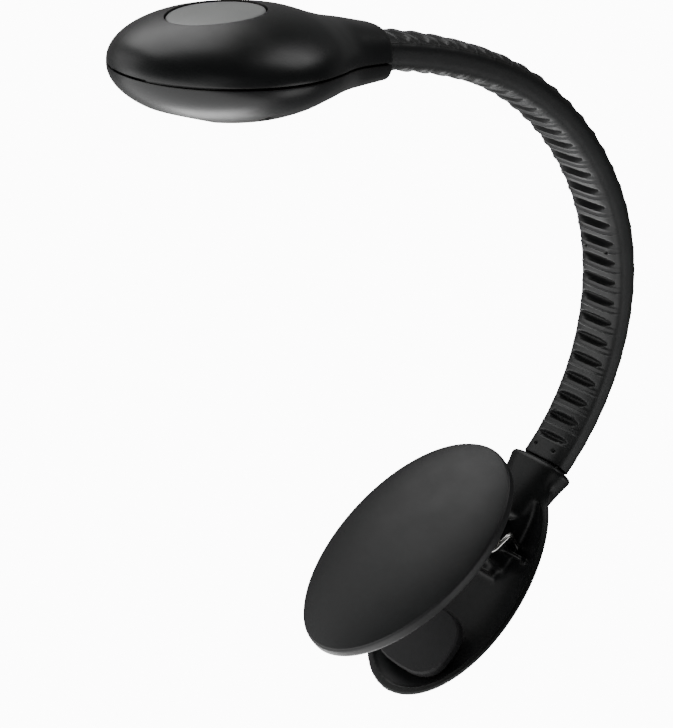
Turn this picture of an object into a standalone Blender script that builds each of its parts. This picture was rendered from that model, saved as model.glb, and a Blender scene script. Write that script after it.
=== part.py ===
"""Clip-on reading lamp: a sprung oval clip, a flat flexible arm and a pebble-shaped lamp head.

Lengths below are in millimetres and become metres when a mesh is made.
Frame: the origin is the middle of the rear jaw's grip face, +Z runs up the rear jaw towards the arm,
-Y points from the rear jaw to the front jaw, and X runs across the clip.
"""

import math

import bmesh
import bpy
from mathutils import Matrix, Vector

MM = 0.001
GAP = 0.3  # clearance left between pieces that touch
SIDES = 16  # facets on small round pieces

# Clip
# Each jaw's outline: half width, half length, and how much narrower its arm end is
REAR_JAW = (17.5, 27.3, 0.06)
FRONT_JAW = (17.9, 27.1, -0.03)
JAW_POINTS = 32
REAR_CENTRE = (0.0, 1.0, 14.0)
REAR_DEPTH = 6.8
REAR_WALL = 1.4
FRONT_CENTRE = (0.0, -16.15, 12.3)
FRONT_TILT = math.radians(-9.85)
FRONT_SIDE = 2.2  # height of the cover's side wall
FRONT_DOME = 3.0
FRONT_WALL = 1.5
PLATE_THICKNESS = 1.6

# Clip hinge, whose axis runs along X
HINGE_Y = -7.8
HINGE_Z = 23.6
PIN_RADIUS = 1.25
PIN_HALF_LENGTH = 9.9
PIN_PLAY = 0.1
REAR_LUG = (2.6, 4.1)  # inner and outer |x|
FRONT_LUG = (4.4, 5.75)
LUG_NOSE = 2.7
SPRING_RADIUS = 2.55
SPRING_WIRE = 0.5
SPRING_START = math.radians(-15)  # where on the coil the rear leg leaves it
SPRING_TURNS = 2.44
SPRING_X = (9.25, 6.55)  # |x| of each coil's rear leg and of its front leg
# A rear leg, from its foot beside the collar's root over its bend to the straight run down to the coil
SPRING_REAR_LEG = (
    (5.5, 4.6, 26.7),
    (5.5, 2.6, 27.1),
    (5.65, 0.9, 27.3),
    (6.2, -0.4, 27.35),
    (7.1, -1.5, 27.3),
    (8.0, -2.4, 27.2),
    (8.75, -3.2, 27.05),
    (9.15, -3.85, 26.75),
    (9.25, -4.4, 26.2),
)
SPRING_BRIDGE = (1.0, 21.2)  # (y, z) of the cross wire, in the front jaw's frame
SPRING_REST = (3.6, 10.0, 2.0, 24.2)  # inner and outer |x| of the rib in the dish, its edge's y, and z

# Arm: three arcs, bent about X
ARM_START = (0.0, 2.95, 45.7)
ARM_ARCS = ((64.0, 50.0), (48.0, 66.0), (25.0, 115.0))  # length, radius
ARM_WIDTH = 11.0
ARM_THICKNESS = 6.2
ARM_POWER = 3.0  # superellipse power of the arm's section
ARM_SWELL = 0.085  # how much larger the section is past the stretch in which it swells
SWELL_STRETCH = 55.0
KNUCKLE_PLAY = 0.35
BEND_STATIONS = (8.0, 24.0, 40.0, 56.0, 72.0, 88.0, 104.0, 125.0)
TWIST_STATION = 115.0
TONGUE = (9.4, 4.6)  # width and thickness of the arm's ends
TONGUE_DEPTH = 8.0
ARM_ENTRY = 137.0  # where the arm enters the head
STRIP = (6.6, 1.0)  # armature strip

# Collar that holds the arm's lower end: height, half width, half depth, centre y
COLLAR = (
    (44.6, 8.0, 4.4, 2.6),
    (41.0, 7.1, 3.95, 2.7),
    (37.5, 6.3, 3.65, 2.85),
    (33.5, 5.6, 3.45, 3.25),
    (29.0, 4.9, 3.3, 3.9),
    (24.0, 4.2, 3.0, 4.7),
    (19.0, 3.2, 2.4, 5.6),
)
COLLAR_POWER = 2.8
LOCK_SCREW_Z = 40.4
LOCK_BOSS = (3.4, 4.0, 8.0)  # half width, half height, and y of its flat end

# Head, in its own frame: y runs from the tip to the neck, z is up, the seam is at z = 0
HEAD_PITCH = math.radians(5.2)
HEAD_REACH = 30.3  # from the arm's entry to the pebble's middle
HEAD_LIFT = 1.3
TIP = 21.5
NECK_END = 30.9
# y, half width, height above the seam, depth below it, section power, how far the seam has dropped
HEAD_STATIONS = (
    (0.0, 19.9, 9.4, 9.35, 2.0, 0.0),
    (6.0, 19.1, 9.25, 8.9, 2.0, 0.05),
    (12.0, 16.4, 8.6, 7.5, 2.1, 0.3),
    (17.0, 13.0, 7.5, 6.2, 2.3, 0.8),
    (21.0, 10.4, 6.9, 5.35, 2.45, 1.35),
    (25.0, 8.7, 6.6, 4.7, 2.6, 1.8),
    (NECK_END, 6.9, 5.9, 3.9, 2.6, 2.4),
)
HEAD_WALL = 1.5
NECK_WALL = 1.2
BUTTON_Y = -2.95
BUTTON_HALF = (7.2, 9.1)  # half width, half length
BUTTON_SINK = 0.3
BUTTON_THICK = 1.8
BUTTON_FLANGE = 1.1
LENS_Y = -10.6
LENS_HALF = (8.4, 5.6)
LENS_THICK = 1.3
CELL_Y = 7.5
CELL_RADIUS = 10.0
CELL_THICK = 3.2
CELL_LOW = -4.2
DOOR_Y = 9.3
DOOR_HALF = (10.5, 12.2)
DOOR_SCREW_Y = 19.9
ANCHOR_SCREW_Y = 27.0
SIDE_SCREW = (14.2, -1.0)
BOARD_Y = -1.2
BOARD_HALF = (11.0, 11.4)
BOARD_Z = 3.2
BOARD_THICK = 0.8
SWITCH_Z = BOARD_Z + BOARD_THICK + 0.05
LED_X = 3.2


def rotation_x(angle, centre=(0.0, 0.0, 0.0)):
    """A frame turned about X, with its origin at a point in millimetres."""
    return Matrix.Translation(Vector(centre) * MM) @ Matrix.Rotation(angle, 4, "X")


def arm_point(s):
    """(y, z, tangent angle) of the arm's centre line; the angle is measured from +Z towards -Y."""
    y, z, angle = ARM_START[1], ARM_START[2], 0.0
    if s < 0:
        return y, z + s, 0.0
    for length, radius in ARM_ARCS:
        run = min(s, length)
        turn = run / radius
        y += radius * (math.cos(angle + turn) - math.cos(angle))
        z += radius * (math.sin(angle + turn) - math.sin(angle))
        angle += turn
        s -= run
        if s <= 0:
            break
    if s > 0:
        y -= s * math.sin(angle)
        z += s * math.cos(angle)
    return y, z, angle


def arm_size(s):
    """How much larger the arm's section is at s than at its foot."""
    share = min(1.0, max(0.0, s / SWELL_STRETCH))
    return 1.0 + ARM_SWELL * share * share * (3 - 2 * share)


def arm_frame(s):
    """A frame on the arm: x across it, y towards its outer face, z along it."""
    y, z, angle = arm_point(s)
    return rotation_x(angle, (0.0, y, z))


def head_frame():
    """The head's frame: x across, y from the tip to the neck, z towards the button."""
    y, z, angle = arm_point(ARM_ENTRY)
    angle += HEAD_PITCH
    along = Vector((0.0, -math.sin(angle), math.cos(angle)))
    up = Vector((0.0, math.cos(angle), math.sin(angle)))
    centre = Vector((0.0, y, z)) + along * HEAD_REACH + up * HEAD_LIFT
    return rotation_x(angle - math.pi / 2, centre)


WORLD = Matrix.Identity(4)
HEAD = head_frame()
FRONT = rotation_x(FRONT_TILT, FRONT_CENTRE)
HINGE = Vector((0.0, HINGE_Y, HINGE_Z)) * MM
ORIGIN = Vector((0.0, 0.0, 0.0))


def clear_scene():
    for old in list(bpy.data.objects):
        bpy.data.objects.remove(old, do_unlink=True)


def material(name, colour, roughness, metallic=0.0):
    made = bpy.data.materials.new(name)
    made.use_nodes = True
    shader = made.node_tree.nodes["Principled BSDF"]
    shader.inputs["Base Color"].default_value = (*colour, 1.0)
    shader.inputs["Roughness"].default_value = roughness
    shader.inputs["Metallic"].default_value = metallic
    return made


def make_object(name, points, faces, look, frame=WORLD, pivot=ORIGIN, weld=False):
    """A mesh object whose points are millimetres in a frame, with its origin at a pivot in metres."""
    mesh = bpy.data.meshes.new(name)
    placed = [frame @ (Vector(p) * MM) - pivot for p in points]
    mesh.from_pydata(placed, [], faces)
    work = bmesh.new()
    work.from_mesh(mesh)
    if weld:
        bmesh.ops.remove_doubles(work, verts=work.verts, dist=1e-7)
        bmesh.ops.dissolve_degenerate(work, edges=work.edges, dist=1e-7)
    bmesh.ops.recalc_face_normals(work, faces=work.faces)
    work.to_mesh(mesh)
    work.free()
    mesh.shade_smooth()
    mesh.set_sharp_from_angle(angle=math.radians(35))
    if look is not None:
        mesh.materials.append(look)
    made = bpy.data.objects.new(name, mesh)
    made.location = pivot
    bpy.context.scene.collection.objects.link(made)
    return made


def loft(name, rings, look, frame=WORLD, pivot=ORIGIN, ring_shaped=False, weld=False):
    """A closed solid through rings of equally many points; ring_shaped joins the last ring to the first."""
    count = len(rings[0])
    points = [p for ring in rings for p in ring]
    spans = len(rings) if ring_shaped else len(rings) - 1
    faces = []
    for i in range(spans):
        a, b = i * count, (i + 1) % len(rings) * count
        for j in range(count):
            k = (j + 1) % count
            faces.append((a + j, a + k, b + k, b + j))
    if not ring_shaped:
        last = (len(rings) - 1) * count
        faces.append(tuple(reversed(range(count))))
        faces.append(tuple(range(last, last + count)))
    return make_object(name, points, faces, look, frame, pivot, weld)


def tool(made):
    """Marks an object as one that only cuts or joins."""
    made.hide_render = True
    made.display_type = "WIRE"
    return made


def combine(target, other, operation):
    tool(other)
    step = target.modifiers.new(operation.lower(), "BOOLEAN")
    step.operation = operation
    step.object = other
    step.solver = "EXACT"


def cut(target, *cutters):
    for cutter in cutters:
        combine(target, cutter, "DIFFERENCE")


def join(target, *others):
    for other in others:
        combine(target, other, "UNION")


def oval(half_x, half_y, centre=(0.0, 0.0), count=SIDES, power=2.0):
    """Points round a superellipse, as (x, y) pairs."""
    ring = []
    for i in range(count):
        turn = 2 * math.pi * i / count
        c, s = math.cos(turn), math.sin(turn)
        x = math.copysign(abs(c) ** (2 / power), c) * half_x
        y = math.copysign(abs(s) ** (2 / power), s) * half_y
        ring.append((centre[0] + x, centre[1] + y))
    return ring


def column(name, outline, low, high, look, frame=WORLD, pivot=ORIGIN, along="z"):
    """A straight prism from an outline of pairs, along x, y or z."""

    def place(pair, height):
        a, b = pair
        return {"x": (height, a, b), "y": (a, height, b), "z": (a, b, height)}[along]

    rings = [[place(pair, height) for pair in outline] for height in (low, high)]
    return loft(name, rings, look, frame, pivot)


def turned(name, profile, centre, look, frame=WORLD, pivot=ORIGIN, along="z", count=SIDES):
    """A round solid from (height, radius) pairs along x, y or z, about a centre given as a pair."""
    rings = []
    for height, radius in profile:
        ring = oval(radius, radius, centre, count)
        spots = {
            "x": [(height, a, b) for a, b in ring],
            "y": [(a, height, b) for a, b in ring],
            "z": [(a, b, height) for a, b in ring],
        }
        rings.append(spots[along])
    return loft(name, rings, look, frame, pivot)


def screw(name, centre, head_at, tip_at, head_radius, look, frame, pivot, along="z", deep=1.0):
    """A pan-head screw: its head starts at head_at and its shank ends at tip_at."""
    way = 1.0 if tip_at > head_at else -1.0
    profile = (
        (head_at, head_radius * 0.75),
        (head_at + way * deep * 0.35, head_radius),
        (head_at + way * deep, head_radius),
        (head_at + way * (deep + 0.01), 0.85),
        (tip_at - way * 0.8, 0.85),
        (tip_at, 0.35),
    )
    made = turned(name, profile, centre, look, frame, pivot, along, 12)
    slot = [
        (centre[0] - 0.22, centre[1] - head_radius * 0.6),
        (centre[0] + 0.22, centre[1] - head_radius * 0.6),
        (centre[0] + 0.22, centre[1] + head_radius * 0.6),
        (centre[0] - 0.22, centre[1] + head_radius * 0.6),
    ]
    cross = [(centre[0] + b - centre[1], centre[1] + a - centre[0]) for a, b in slot]
    for number, outline in enumerate((slot, cross)):
        low, high = sorted((head_at - way * 0.5, head_at + way * deep * 0.5))
        cut(made, column(f"{name}_slot_{number}", outline, low, high, None, frame, pivot, along))
    return made


# Clip


def jaw_ring(jaw, height, share, inset=0.0, centre=(0.0, 0.0, 0.0)):
    """A jaw's egg-shaped outline at one height, scaled by share and drawn in by inset."""
    half_width, half_length, egg = jaw
    ring = []
    for i in range(JAW_POINTS):
        turn = 2 * math.pi * i / JAW_POINTS
        wide = half_width * share - inset
        long = half_length * share - inset
        x = wide * math.cos(turn) * (1 - egg * math.sin(turn))
        z = long * math.sin(turn)
        ring.append((centre[0] + x, centre[1] + height, centre[2] + z))
    return ring


def dome(share, power=2.3, root=0.72):
    """Height of a jaw's dome, from 1 in the middle to 0 at its edge."""
    return max(0.0, 1 - share**power) ** root


DOME_SHARES = (0.2, 0.5, 0.73, 0.88, 0.96)


def rear_jaw_shell(look):
    """The dished rear jaw with the collar for the arm and the hinge's outer ears."""
    outer = [
        jaw_ring(REAR_JAW, REAR_DEPTH * dome(s), s, 0.0, REAR_CENTRE) for s in DOME_SHARES
    ]
    inner = [
        jaw_ring(REAR_JAW, (REAR_DEPTH - REAR_WALL) * dome(s), s, REAR_WALL * s, REAR_CENTRE)
        for s in DOME_SHARES
    ]
    rim_out = jaw_ring(REAR_JAW, 0.0, 1.0, 0.0, REAR_CENTRE)
    rim_in = jaw_ring(REAR_JAW, 0.0, 1.0, REAR_WALL, REAR_CENTRE)
    shell = loft("rear_jaw_shell", outer + [rim_out, rim_in] + inner[::-1], look)
    collar = [
        [(x, y, z) for x, y in oval(wide, deep, (0.0, centre_y), 20, COLLAR_POWER)]
        for z, wide, deep, centre_y in COLLAR
    ]
    join(shell, loft("collar_form", collar, None))
    boss = oval(LOCK_BOSS[0], LOCK_BOSS[1], (0.0, LOCK_SCREW_Z), 24)
    join(shell, column("lock_boss_form", boss, ARM_START[1], LOCK_BOSS[2], None, along="y"))
    for side in (-1, 1):
        join(shell, lug(f"rear_lug_form_{side}", side, REAR_LUG, rear_lug_outline(), WORLD))
        inner, outer_end, edge, low = SPRING_REST
        rest = [(edge, low), (edge, low + 0.9), (5.3, low + 0.9), (5.3, low)]
        join(shell, lug(f"spring_rest_form_{side}", side, (inner, outer_end), rest, WORLD))
    socket_half = (TONGUE[0] / 2 + GAP, TONGUE[1] / 2 + GAP)
    socket = oval(*socket_half, (0.0, ARM_START[1]), 24, 5.0)
    bottom = ARM_START[2] - TONGUE_DEPTH - GAP
    cut(shell, column("socket_form", socket, bottom, 50.0, None))
    cut(shell, pin_bore("rear_bore_form", REAR_LUG[1] + 1.0, WORLD))
    hole = ((ARM_START[1], 1.25), (6.6, 1.25), (6.61, 2.1), (12.0, 2.1))
    cut(shell, turned("lock_hole_form", hole, (0.0, LOCK_SCREW_Z), None, along="y"))
    return shell


def rear_lug_outline():
    """(y, z) outline of a rear hinge ear, from its round nose to its foot in the dish."""
    nose = [
        (HINGE_Y + LUG_NOSE * math.cos(a), HINGE_Z + LUG_NOSE * math.sin(a))
        for a in (math.radians(100 + 20 * i) for i in range(9))
    ]
    return nose + [(5.9, 18.5), (5.9, 31.0)]


def front_lug_outline():
    """(y, z) outline of a front hinge ear, in the front jaw's frame."""
    spot = FRONT.inverted() @ HINGE / MM
    nose = [
        (spot.y + LUG_NOSE * math.cos(a), spot.z + LUG_NOSE * math.sin(a))
        for a in (math.radians(-80 + 20 * i) for i in range(9))
    ]
    return nose + [(-0.8, spot.z + 5.5), (-0.8, spot.z - 5.5)]


def lug(name, side, reach, outline, frame):
    low, high = sorted((side * reach[0], side * reach[1]))
    return column(name, outline, low, high, None, frame, along="x")


def pin_bore(name, half_length, frame):
    spot = frame.inverted() @ HINGE / MM
    radius = PIN_RADIUS + PIN_PLAY
    profile = ((-half_length, radius), (half_length, radius))
    return turned(name, profile, (spot.y, spot.z), None, frame, along="x")


PAD_HALF = (10.0, 7.5)


def rear_grip_pad(look):
    """A soft block in the lower half of the rear jaw; its flat face is the clip's grip face."""
    stages = ((0.0, -0.35), (0.35, 0.0), (1.9, 0.0), (2.2, -4.0), (4.0, -4.4))
    rings = [
        [(x, y, z) for x, z in oval(PAD_HALF[0] + grow, PAD_HALF[1] + grow, (0.0, 0.0), 28, 2.8)]
        for y, grow in stages
    ]
    return loft("rear_grip_pad", rings, look)


def hinge_pin(look):
    profile = (
        (-PIN_HALF_LENGTH, PIN_RADIUS - 0.25),
        (-PIN_HALF_LENGTH + 0.25, PIN_RADIUS),
        (PIN_HALF_LENGTH - 0.25, PIN_RADIUS),
        (PIN_HALF_LENGTH, PIN_RADIUS - 0.25),
    )
    return turned("hinge_pin", profile, (HINGE_Y, HINGE_Z), look, along="x")


def spring_path():
    """Centre line of the double torsion spring: rear leg, coil, front leg and cross wire, then its mirror."""
    half = list(SPRING_REAR_LEG)
    steps = int(SPRING_TURNS * 10)
    for i in range(steps + 1):
        share = i / steps
        angle = SPRING_START - 2 * math.pi * SPRING_TURNS * share
        x = SPRING_X[0] + (SPRING_X[1] - SPRING_X[0]) * share
        y = HINGE_Y + SPRING_RADIUS * math.cos(angle)
        half.append((x, y, HINGE_Z + SPRING_RADIUS * math.sin(angle)))
    corner = FRONT @ (Vector((SPRING_X[1], *SPRING_BRIDGE)) * MM) / MM
    half.append((SPRING_X[1], corner.y, corner.z - 0.8))
    half.append((SPRING_X[1] - 0.8, corner.y, corner.z))
    return half + [(-x, y, z) for x, y, z in reversed(half)]


def torsion_spring(look):
    curve = bpy.data.curves.new("torsion_spring", "CURVE")
    curve.dimensions = "3D"
    curve.bevel_depth = SPRING_WIRE * MM
    curve.bevel_resolution = 0
    curve.use_fill_caps = True
    curve.resolution_u = 1
    curve.render_resolution_u = 0
    line = curve.splines.new("POLY")
    path = spring_path()
    line.points.add(len(path) - 1)
    for point, spot in zip(line.points, path):
        point.co = (*(Vector(spot) * MM - HINGE), 1.0)
    curve.materials.append(look)
    made = bpy.data.objects.new("torsion_spring", curve)
    made.location = HINGE
    bpy.context.scene.collection.objects.link(made)
    return made


def front_jaw_cover(look):
    """The domed outer cover of the front jaw, with its low side wall."""
    apex = FRONT_SIDE + FRONT_DOME
    outer = [
        jaw_ring(FRONT_JAW, -(FRONT_SIDE + 0.2 + (FRONT_DOME - 0.2) * dome(s, 2.2, 0.8)), s * 0.98)
        for s in DOME_SHARES
    ]
    shoulder = [
        jaw_ring(FRONT_JAW, -FRONT_SIDE - 0.1, 0.98),
        jaw_ring(FRONT_JAW, -FRONT_SIDE, 0.985),
        jaw_ring(FRONT_JAW, -FRONT_SIDE + 0.5, 1.0),
        jaw_ring(FRONT_JAW, 0.0, 1.0),
        jaw_ring(FRONT_JAW, 0.0, 1.0, FRONT_WALL),
        jaw_ring(FRONT_JAW, -FRONT_SIDE, 0.985, FRONT_WALL),
    ]
    inside = [
        jaw_ring(
            FRONT_JAW,
            -(FRONT_SIDE + 0.1 + (apex - FRONT_WALL - FRONT_SIDE - 0.1) * dome(s, 2.2, 0.8)),
            s * 0.97,
            FRONT_WALL * s,
        )
        for s in DOME_SHARES
    ]
    cover = loft("front_jaw_cover", outer + shoulder + inside[::-1], look, FRONT, HINGE)
    for side in (-1, 1):
        spot = (side * COVER_SCREW[0], COVER_SCREW[1])
        boss = ((-5.2, 2.2), (-PLATE_THICKNESS - GAP, 2.2))
        join(cover, turned(f"cover_boss_{side}", boss, spot, None, FRONT, along="y"))
        bore = ((-4.0, 1.15), (0.0, 1.15))
        cut(cover, turned(f"cover_bore_{side}", bore, spot, None, FRONT, along="y"))
    return cover


COVER_SCREW = (7.0, 0.0)


def front_jaw_frame(look):
    """The flat inner plate of the front jaw, with the hinge's inner ears."""
    inset = FRONT_WALL + GAP
    rings = [jaw_ring(FRONT_JAW, y, 0.985, inset) for y in (-PLATE_THICKNESS, 0.0)]
    plate = loft("front_jaw_frame", rings, look, FRONT, HINGE)
    for side in (-1, 1):
        join(plate, lug(f"front_lug_form_{side}", side, FRONT_LUG, front_lug_outline(), FRONT))
        spot = (side * COVER_SCREW[0], COVER_SCREW[1])
        hole = ((-3.0, 1.15), (-0.9, 1.15), (-0.89, 2.05), (3.0, 2.05))
        cut(plate, turned(f"plate_hole_{side}", hole, spot, None, FRONT, along="y"))
    cut(plate, pin_bore("front_bore_form", FRONT_LUG[1] + 1.0, FRONT))
    return plate


def front_grip_pad(look):
    stages = ((GAP, 0.0), (1.9, 0.0), (2.3, -0.4))
    centre = (0.0, -15.4)
    rings = [
        [(x, y, z) for x, z in oval(PAD_HALF[0] - 1 + grow, PAD_HALF[1] - 0.6 + grow, centre, 28, 2.8)]
        for y, grow in stages
    ]
    return loft("front_grip_pad", rings, look, FRONT, HINGE)


# Arm


def arm_section(wide=ARM_WIDTH, thick=ARM_THICKNESS, power=ARM_POWER):
    """(x, y) points round the arm, paired left and right so that an end can be ruled across it."""
    rows = 4
    heights = [thick / 2 * math.sin(math.pi / 2 * (i / rows)) for i in range(-rows, rows + 1)]
    right = []
    for y in heights:
        share = max(0.0, 1 - abs(2 * y / thick) ** power) ** (1 / power)
        right.append((max(wide / 2 * share, wide / 2 * 0.55), y))
    return right, [(-x, y) for x, y in reversed(right)]


def arm_piece(name, start, end, knuckle, hollow, look, pivot):
    """A length of arm. Its start is a round knuckle or flat, and its end is a hollow or flat."""
    right, left = arm_section()
    section = right + left
    start_size, end_size = arm_size(start), arm_size(end)
    knuckle_radius = ARM_THICKNESS / 2 * start_size
    hollow_radius = ARM_THICKNESS / 2 * end_size + KNUCKLE_PLAY

    def place(x, y, s, size):
        frame = arm_frame(s)
        spot = frame @ (Vector((x * size, y * size, 0.0)) * MM)
        return spot / MM

    def knuckle_drop(y):
        return math.sqrt(max(0.0, knuckle_radius**2 - (y * start_size) ** 2)) if knuckle else -0.2

    def hollow_drop(y):
        return math.sqrt(hollow_radius**2 - (y * end_size) ** 2) if hollow else 0.2

    count = max(2, int((end - start) / 4.5))
    rings = [[place(x, y, start - knuckle_drop(y), start_size) for x, y in section]]
    inner_start = start + 0.3
    inner_end = end - hollow_radius - 0.3 if hollow else end - 0.5
    for i in range(count + 1):
        s = inner_start + (inner_end - inner_start) * i / count
        rings.append([place(x, y, s, arm_size(s)) for x, y in section])
    rings.append([place(x, y, end - hollow_drop(y), end_size) for x, y in section])
    size = len(section)
    points = [p for ring in rings for p in ring]
    faces = []
    for i in range(len(rings) - 1):
        for j in range(size):
            k = (j + 1) % size
            faces.append((i * size + j, i * size + k, (i + 1) * size + k, (i + 1) * size + j))
    for base in (0, (len(rings) - 1) * size):
        for j in range(size // 2 - 1):
            faces.append((base + j, base + j + 1, base + size - 2 - j, base + size - 1 - j))
    return make_object(name, points, faces, look, pivot=pivot)


def strip_rings(wide, thick, start, end):
    """Rings of a flat strip along the arm's centre line."""
    count = max(1, int((end - start) / 4.0))
    rings = []
    for i in range(count + 1):
        frame = arm_frame(start + (end - start) * i / count)
        corners = ((-1, -1), (1, -1), (1, 1), (-1, 1))
        rings.append([frame @ (Vector((a * wide / 2, b * thick / 2, 0)) * MM) / MM for a, b in corners])
    return rings


def strip_slot(piece, name, start, end, pivot):
    wide, thick = STRIP[0] + 2 * GAP, STRIP[1] + 2 * GAP
    cut(piece, loft(f"{name}_slot", strip_rings(wide, thick, start, end), None, pivot=pivot))


def pivot_at(s):
    y, z, _ = arm_point(s)
    return Vector((0.0, y, z)) * MM


def arm_segments(rubber, steel):
    """The moving lengths of arm between the bend stations, each with its length of armature strip."""
    stations = sorted(BEND_STATIONS + (TWIST_STATION,))
    reach = ARM_THICKNESS / 2 * (1 + ARM_SWELL) + KNUCKLE_PLAY
    for number, (start, end) in enumerate(zip(stations[:-1], stations[1:]), 1):
        knuckle, hollow = start != TWIST_STATION, end != TWIST_STATION
        pivot = pivot_at(start)
        name = f"arm_segment_{number}"
        piece = arm_piece(name, start, end, knuckle, hollow, rubber, pivot)
        strip_slot(piece, name, start - 6, end + 3, pivot)
        first = start - reach + 0.9 if knuckle else start + 0.3
        last = end - reach - 0.1 if hollow else end - 0.3
        loft(f"armature_strip_{number}", strip_rings(*STRIP, first, last), steel, pivot=pivot)


def arm_base(rubber, steel):
    """The arm's lower end: a tongue in the collar and a shoulder above it."""
    end = BEND_STATIONS[0]
    piece = arm_piece("arm_base", 0.6, end, False, True, rubber, ORIGIN)
    tongue = oval(TONGUE[0] / 2, TONGUE[1] / 2, (0.0, ARM_START[1]), 24, 5.0)
    low = ARM_START[2] - TONGUE_DEPTH
    join(piece, column("base_tongue_form", tongue, low, ARM_START[2] + 1.6, None))
    strip_slot(piece, "arm_base", -TONGUE_DEPTH - 1.0, end, ORIGIN)
    hole = ((-1.0, 1.25), (7.0, 1.25))
    cut(piece, turned("base_hole_form", hole, (0.0, LOCK_SCREW_Z), None, along="y"))
    last = end - ARM_THICKNESS / 2 - KNUCKLE_PLAY - 0.1
    loft("armature_strip_base", strip_rings(*STRIP, -4.0, last), steel)


def arm_end(rubber, steel, pivot):
    """The arm's upper end, whose tongue is held in the head's neck."""
    start = BEND_STATIONS[-1]
    piece = arm_piece("arm_end", start, ARM_ENTRY - 1.1, True, False, rubber, pivot)
    tongue_end = HEAD_REACH - TONGUE_DEPTH + 3.0
    outline = oval(TONGUE[0] / 2, TONGUE[1] / 2, (0.0, -HEAD_LIFT), 24, 5.0)
    form = column("end_tongue_form", outline, tongue_end, HEAD_REACH + 2.0, None, HEAD, pivot, "y")
    join(piece, form)
    strip_slot(piece, "arm_end", start - 6, ARM_ENTRY + 12, pivot)
    hole = ((-8.0, 1.25), (8.0, 1.25))
    cut(piece, turned("end_hole_form", hole, (0.0, ANCHOR_SCREW_Y), None, HEAD, pivot))
    first = start - ARM_THICKNESS / 2 + 0.6
    loft("armature_strip_end", strip_rings(*STRIP, first, ARM_ENTRY - 0.5), steel, pivot=pivot)


# Head


def head_size(y):
    """(half width, height, depth, power, seam drop) of the head at y."""
    if y <= 0:
        share = math.sqrt(max(0.0, 1 - (y / TIP) ** 2))
        _, wide, high, deep, power, _ = HEAD_STATIONS[0]
        return wide * share, high * share, deep * share, power, 0.0
    knots = HEAD_STATIONS
    i = max(k for k in range(len(knots) - 1) if knots[k][0] <= y or k == 0)
    before = knots[i - 1] if i else (-knots[1][0], *knots[1][1:])
    after = knots[i + 2] if i + 2 < len(knots) else knots[i + 1]
    a, b = knots[i], knots[i + 1]
    t = (y - a[0]) / (b[0] - a[0])
    sizes = []
    for k in range(1, 6):
        rise_a = (b[k] - before[k]) / (b[0] - before[0]) * (b[0] - a[0])
        rise_b = (after[k] - a[k]) / max(after[0] - a[0], 1e-6) * (b[0] - a[0])
        sizes.append(
            (2 * t**3 - 3 * t**2 + 1) * a[k]
            + (t**3 - 2 * t**2 + t) * rise_a
            + (3 * t**2 - 2 * t**3) * b[k]
            + (t**3 - t**2) * rise_b
        )
    return tuple(sizes)


def head_surface(x, y, up):
    """Height of the head's outer skin over the seam at (x, y), above or below it."""
    wide, high, deep, power, drop = head_size(y)
    share = max(0.0, 1 - min(1.0, abs(x) / max(wide, 1e-6)) ** power) ** (1 / power)
    return (high if up else -deep) * share - drop


def head_arc(y, up, inset, count=8):
    """Points over (or under) the seam at y, from one side to the other, drawn in by inset."""
    wide, high, deep, power, drop = head_size(y)
    wide, tall = max(wide - inset, 0.0), max((high if up else deep) - inset, 0.0)
    arc = []
    for j in range(2 * count + 1):
        turn = math.pi * j / (2 * count)
        c, s = math.cos(turn), math.sin(turn)
        x = math.copysign(abs(c) ** (2 / power), c) * wide
        arc.append((x, y, (1 if up else -1) * abs(s) ** (2 / power) * tall - drop))
    return arc


def head_rows():
    """Stations from the neck to the tip, closer where the head curves more."""
    neck = [NECK_END, 28.0, 25.0, 22.5, 20.0, 17.0, 13.5, 9.0, 4.0]
    tip = [-TIP * math.sin(math.radians(a)) for a in (3, 18, 33, 48, 63, 77, 90)]
    return neck + tip


def head_shell(name, up, look, pivot):
    """One half of the head's casing, open at the neck and along the seam."""
    rings = []
    seam = 0.08 if up else -0.22
    for y in head_rows():
        wall = NECK_WALL + (HEAD_WALL - NECK_WALL) * min(1.0, max(0.0, (26 - y) / 6))
        outer = head_arc(y, up, 0.0)
        inside_y = y if y > 0 else y * (TIP - HEAD_WALL) / TIP
        inner = head_arc(y, up, wall)
        if y <= 0:
            base = head_arc(0.0, up, HEAD_WALL)
            share = math.sqrt(max(0.0, 1 - (y / TIP) ** 2))
            inner = [(px * share, inside_y, pz * share) for px, _, pz in base]
        ring = outer + inner[::-1]
        rings.append([(px, py, pz + seam) for px, py, pz in ring])
    return loft(name, rings, look, HEAD, pivot, weld=True)


def skin_rings(half, centre_y, up, levels, count=24):
    """Rings of an oval piece whose faces follow the head's skin: levels are (share, grow, sink)."""
    rings = []
    for share, grow, sink in levels:
        ring = []
        for x, y in oval(half[0] * share + grow, half[1] * share + grow, (0.0, centre_y), count):
            height = head_surface(x, y, up)
            ring.append((x, y, height - sink if up else height + sink))
        rings.append(ring)
    return rings


def power_button(look, pivot):
    """The oval button; its flange under the casing keeps it in."""
    under = HEAD_WALL + 0.35
    levels = (
        (0.25, 0.0, BUTTON_SINK),
        (0.6, 0.0, BUTTON_SINK),
        (0.88, 0.0, BUTTON_SINK),
        (1.0, -0.15, BUTTON_SINK + 0.05),
        (1.0, 0.0, BUTTON_SINK + 0.25),
        (1.0, 0.0, under + 0.15),
        (1.0, BUTTON_FLANGE, under + 0.15),
        (1.0, BUTTON_FLANGE, under + 0.75),
        (1.0, -1.2, under + 0.75),
        (0.8, -1.2, BUTTON_THICK + 0.2),
        (0.3, 0.0, BUTTON_THICK + 0.2),
    )
    rings = skin_rings(BUTTON_HALF, BUTTON_Y, True, levels)
    return loft("power_button", rings, look, HEAD, pivot)


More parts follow.
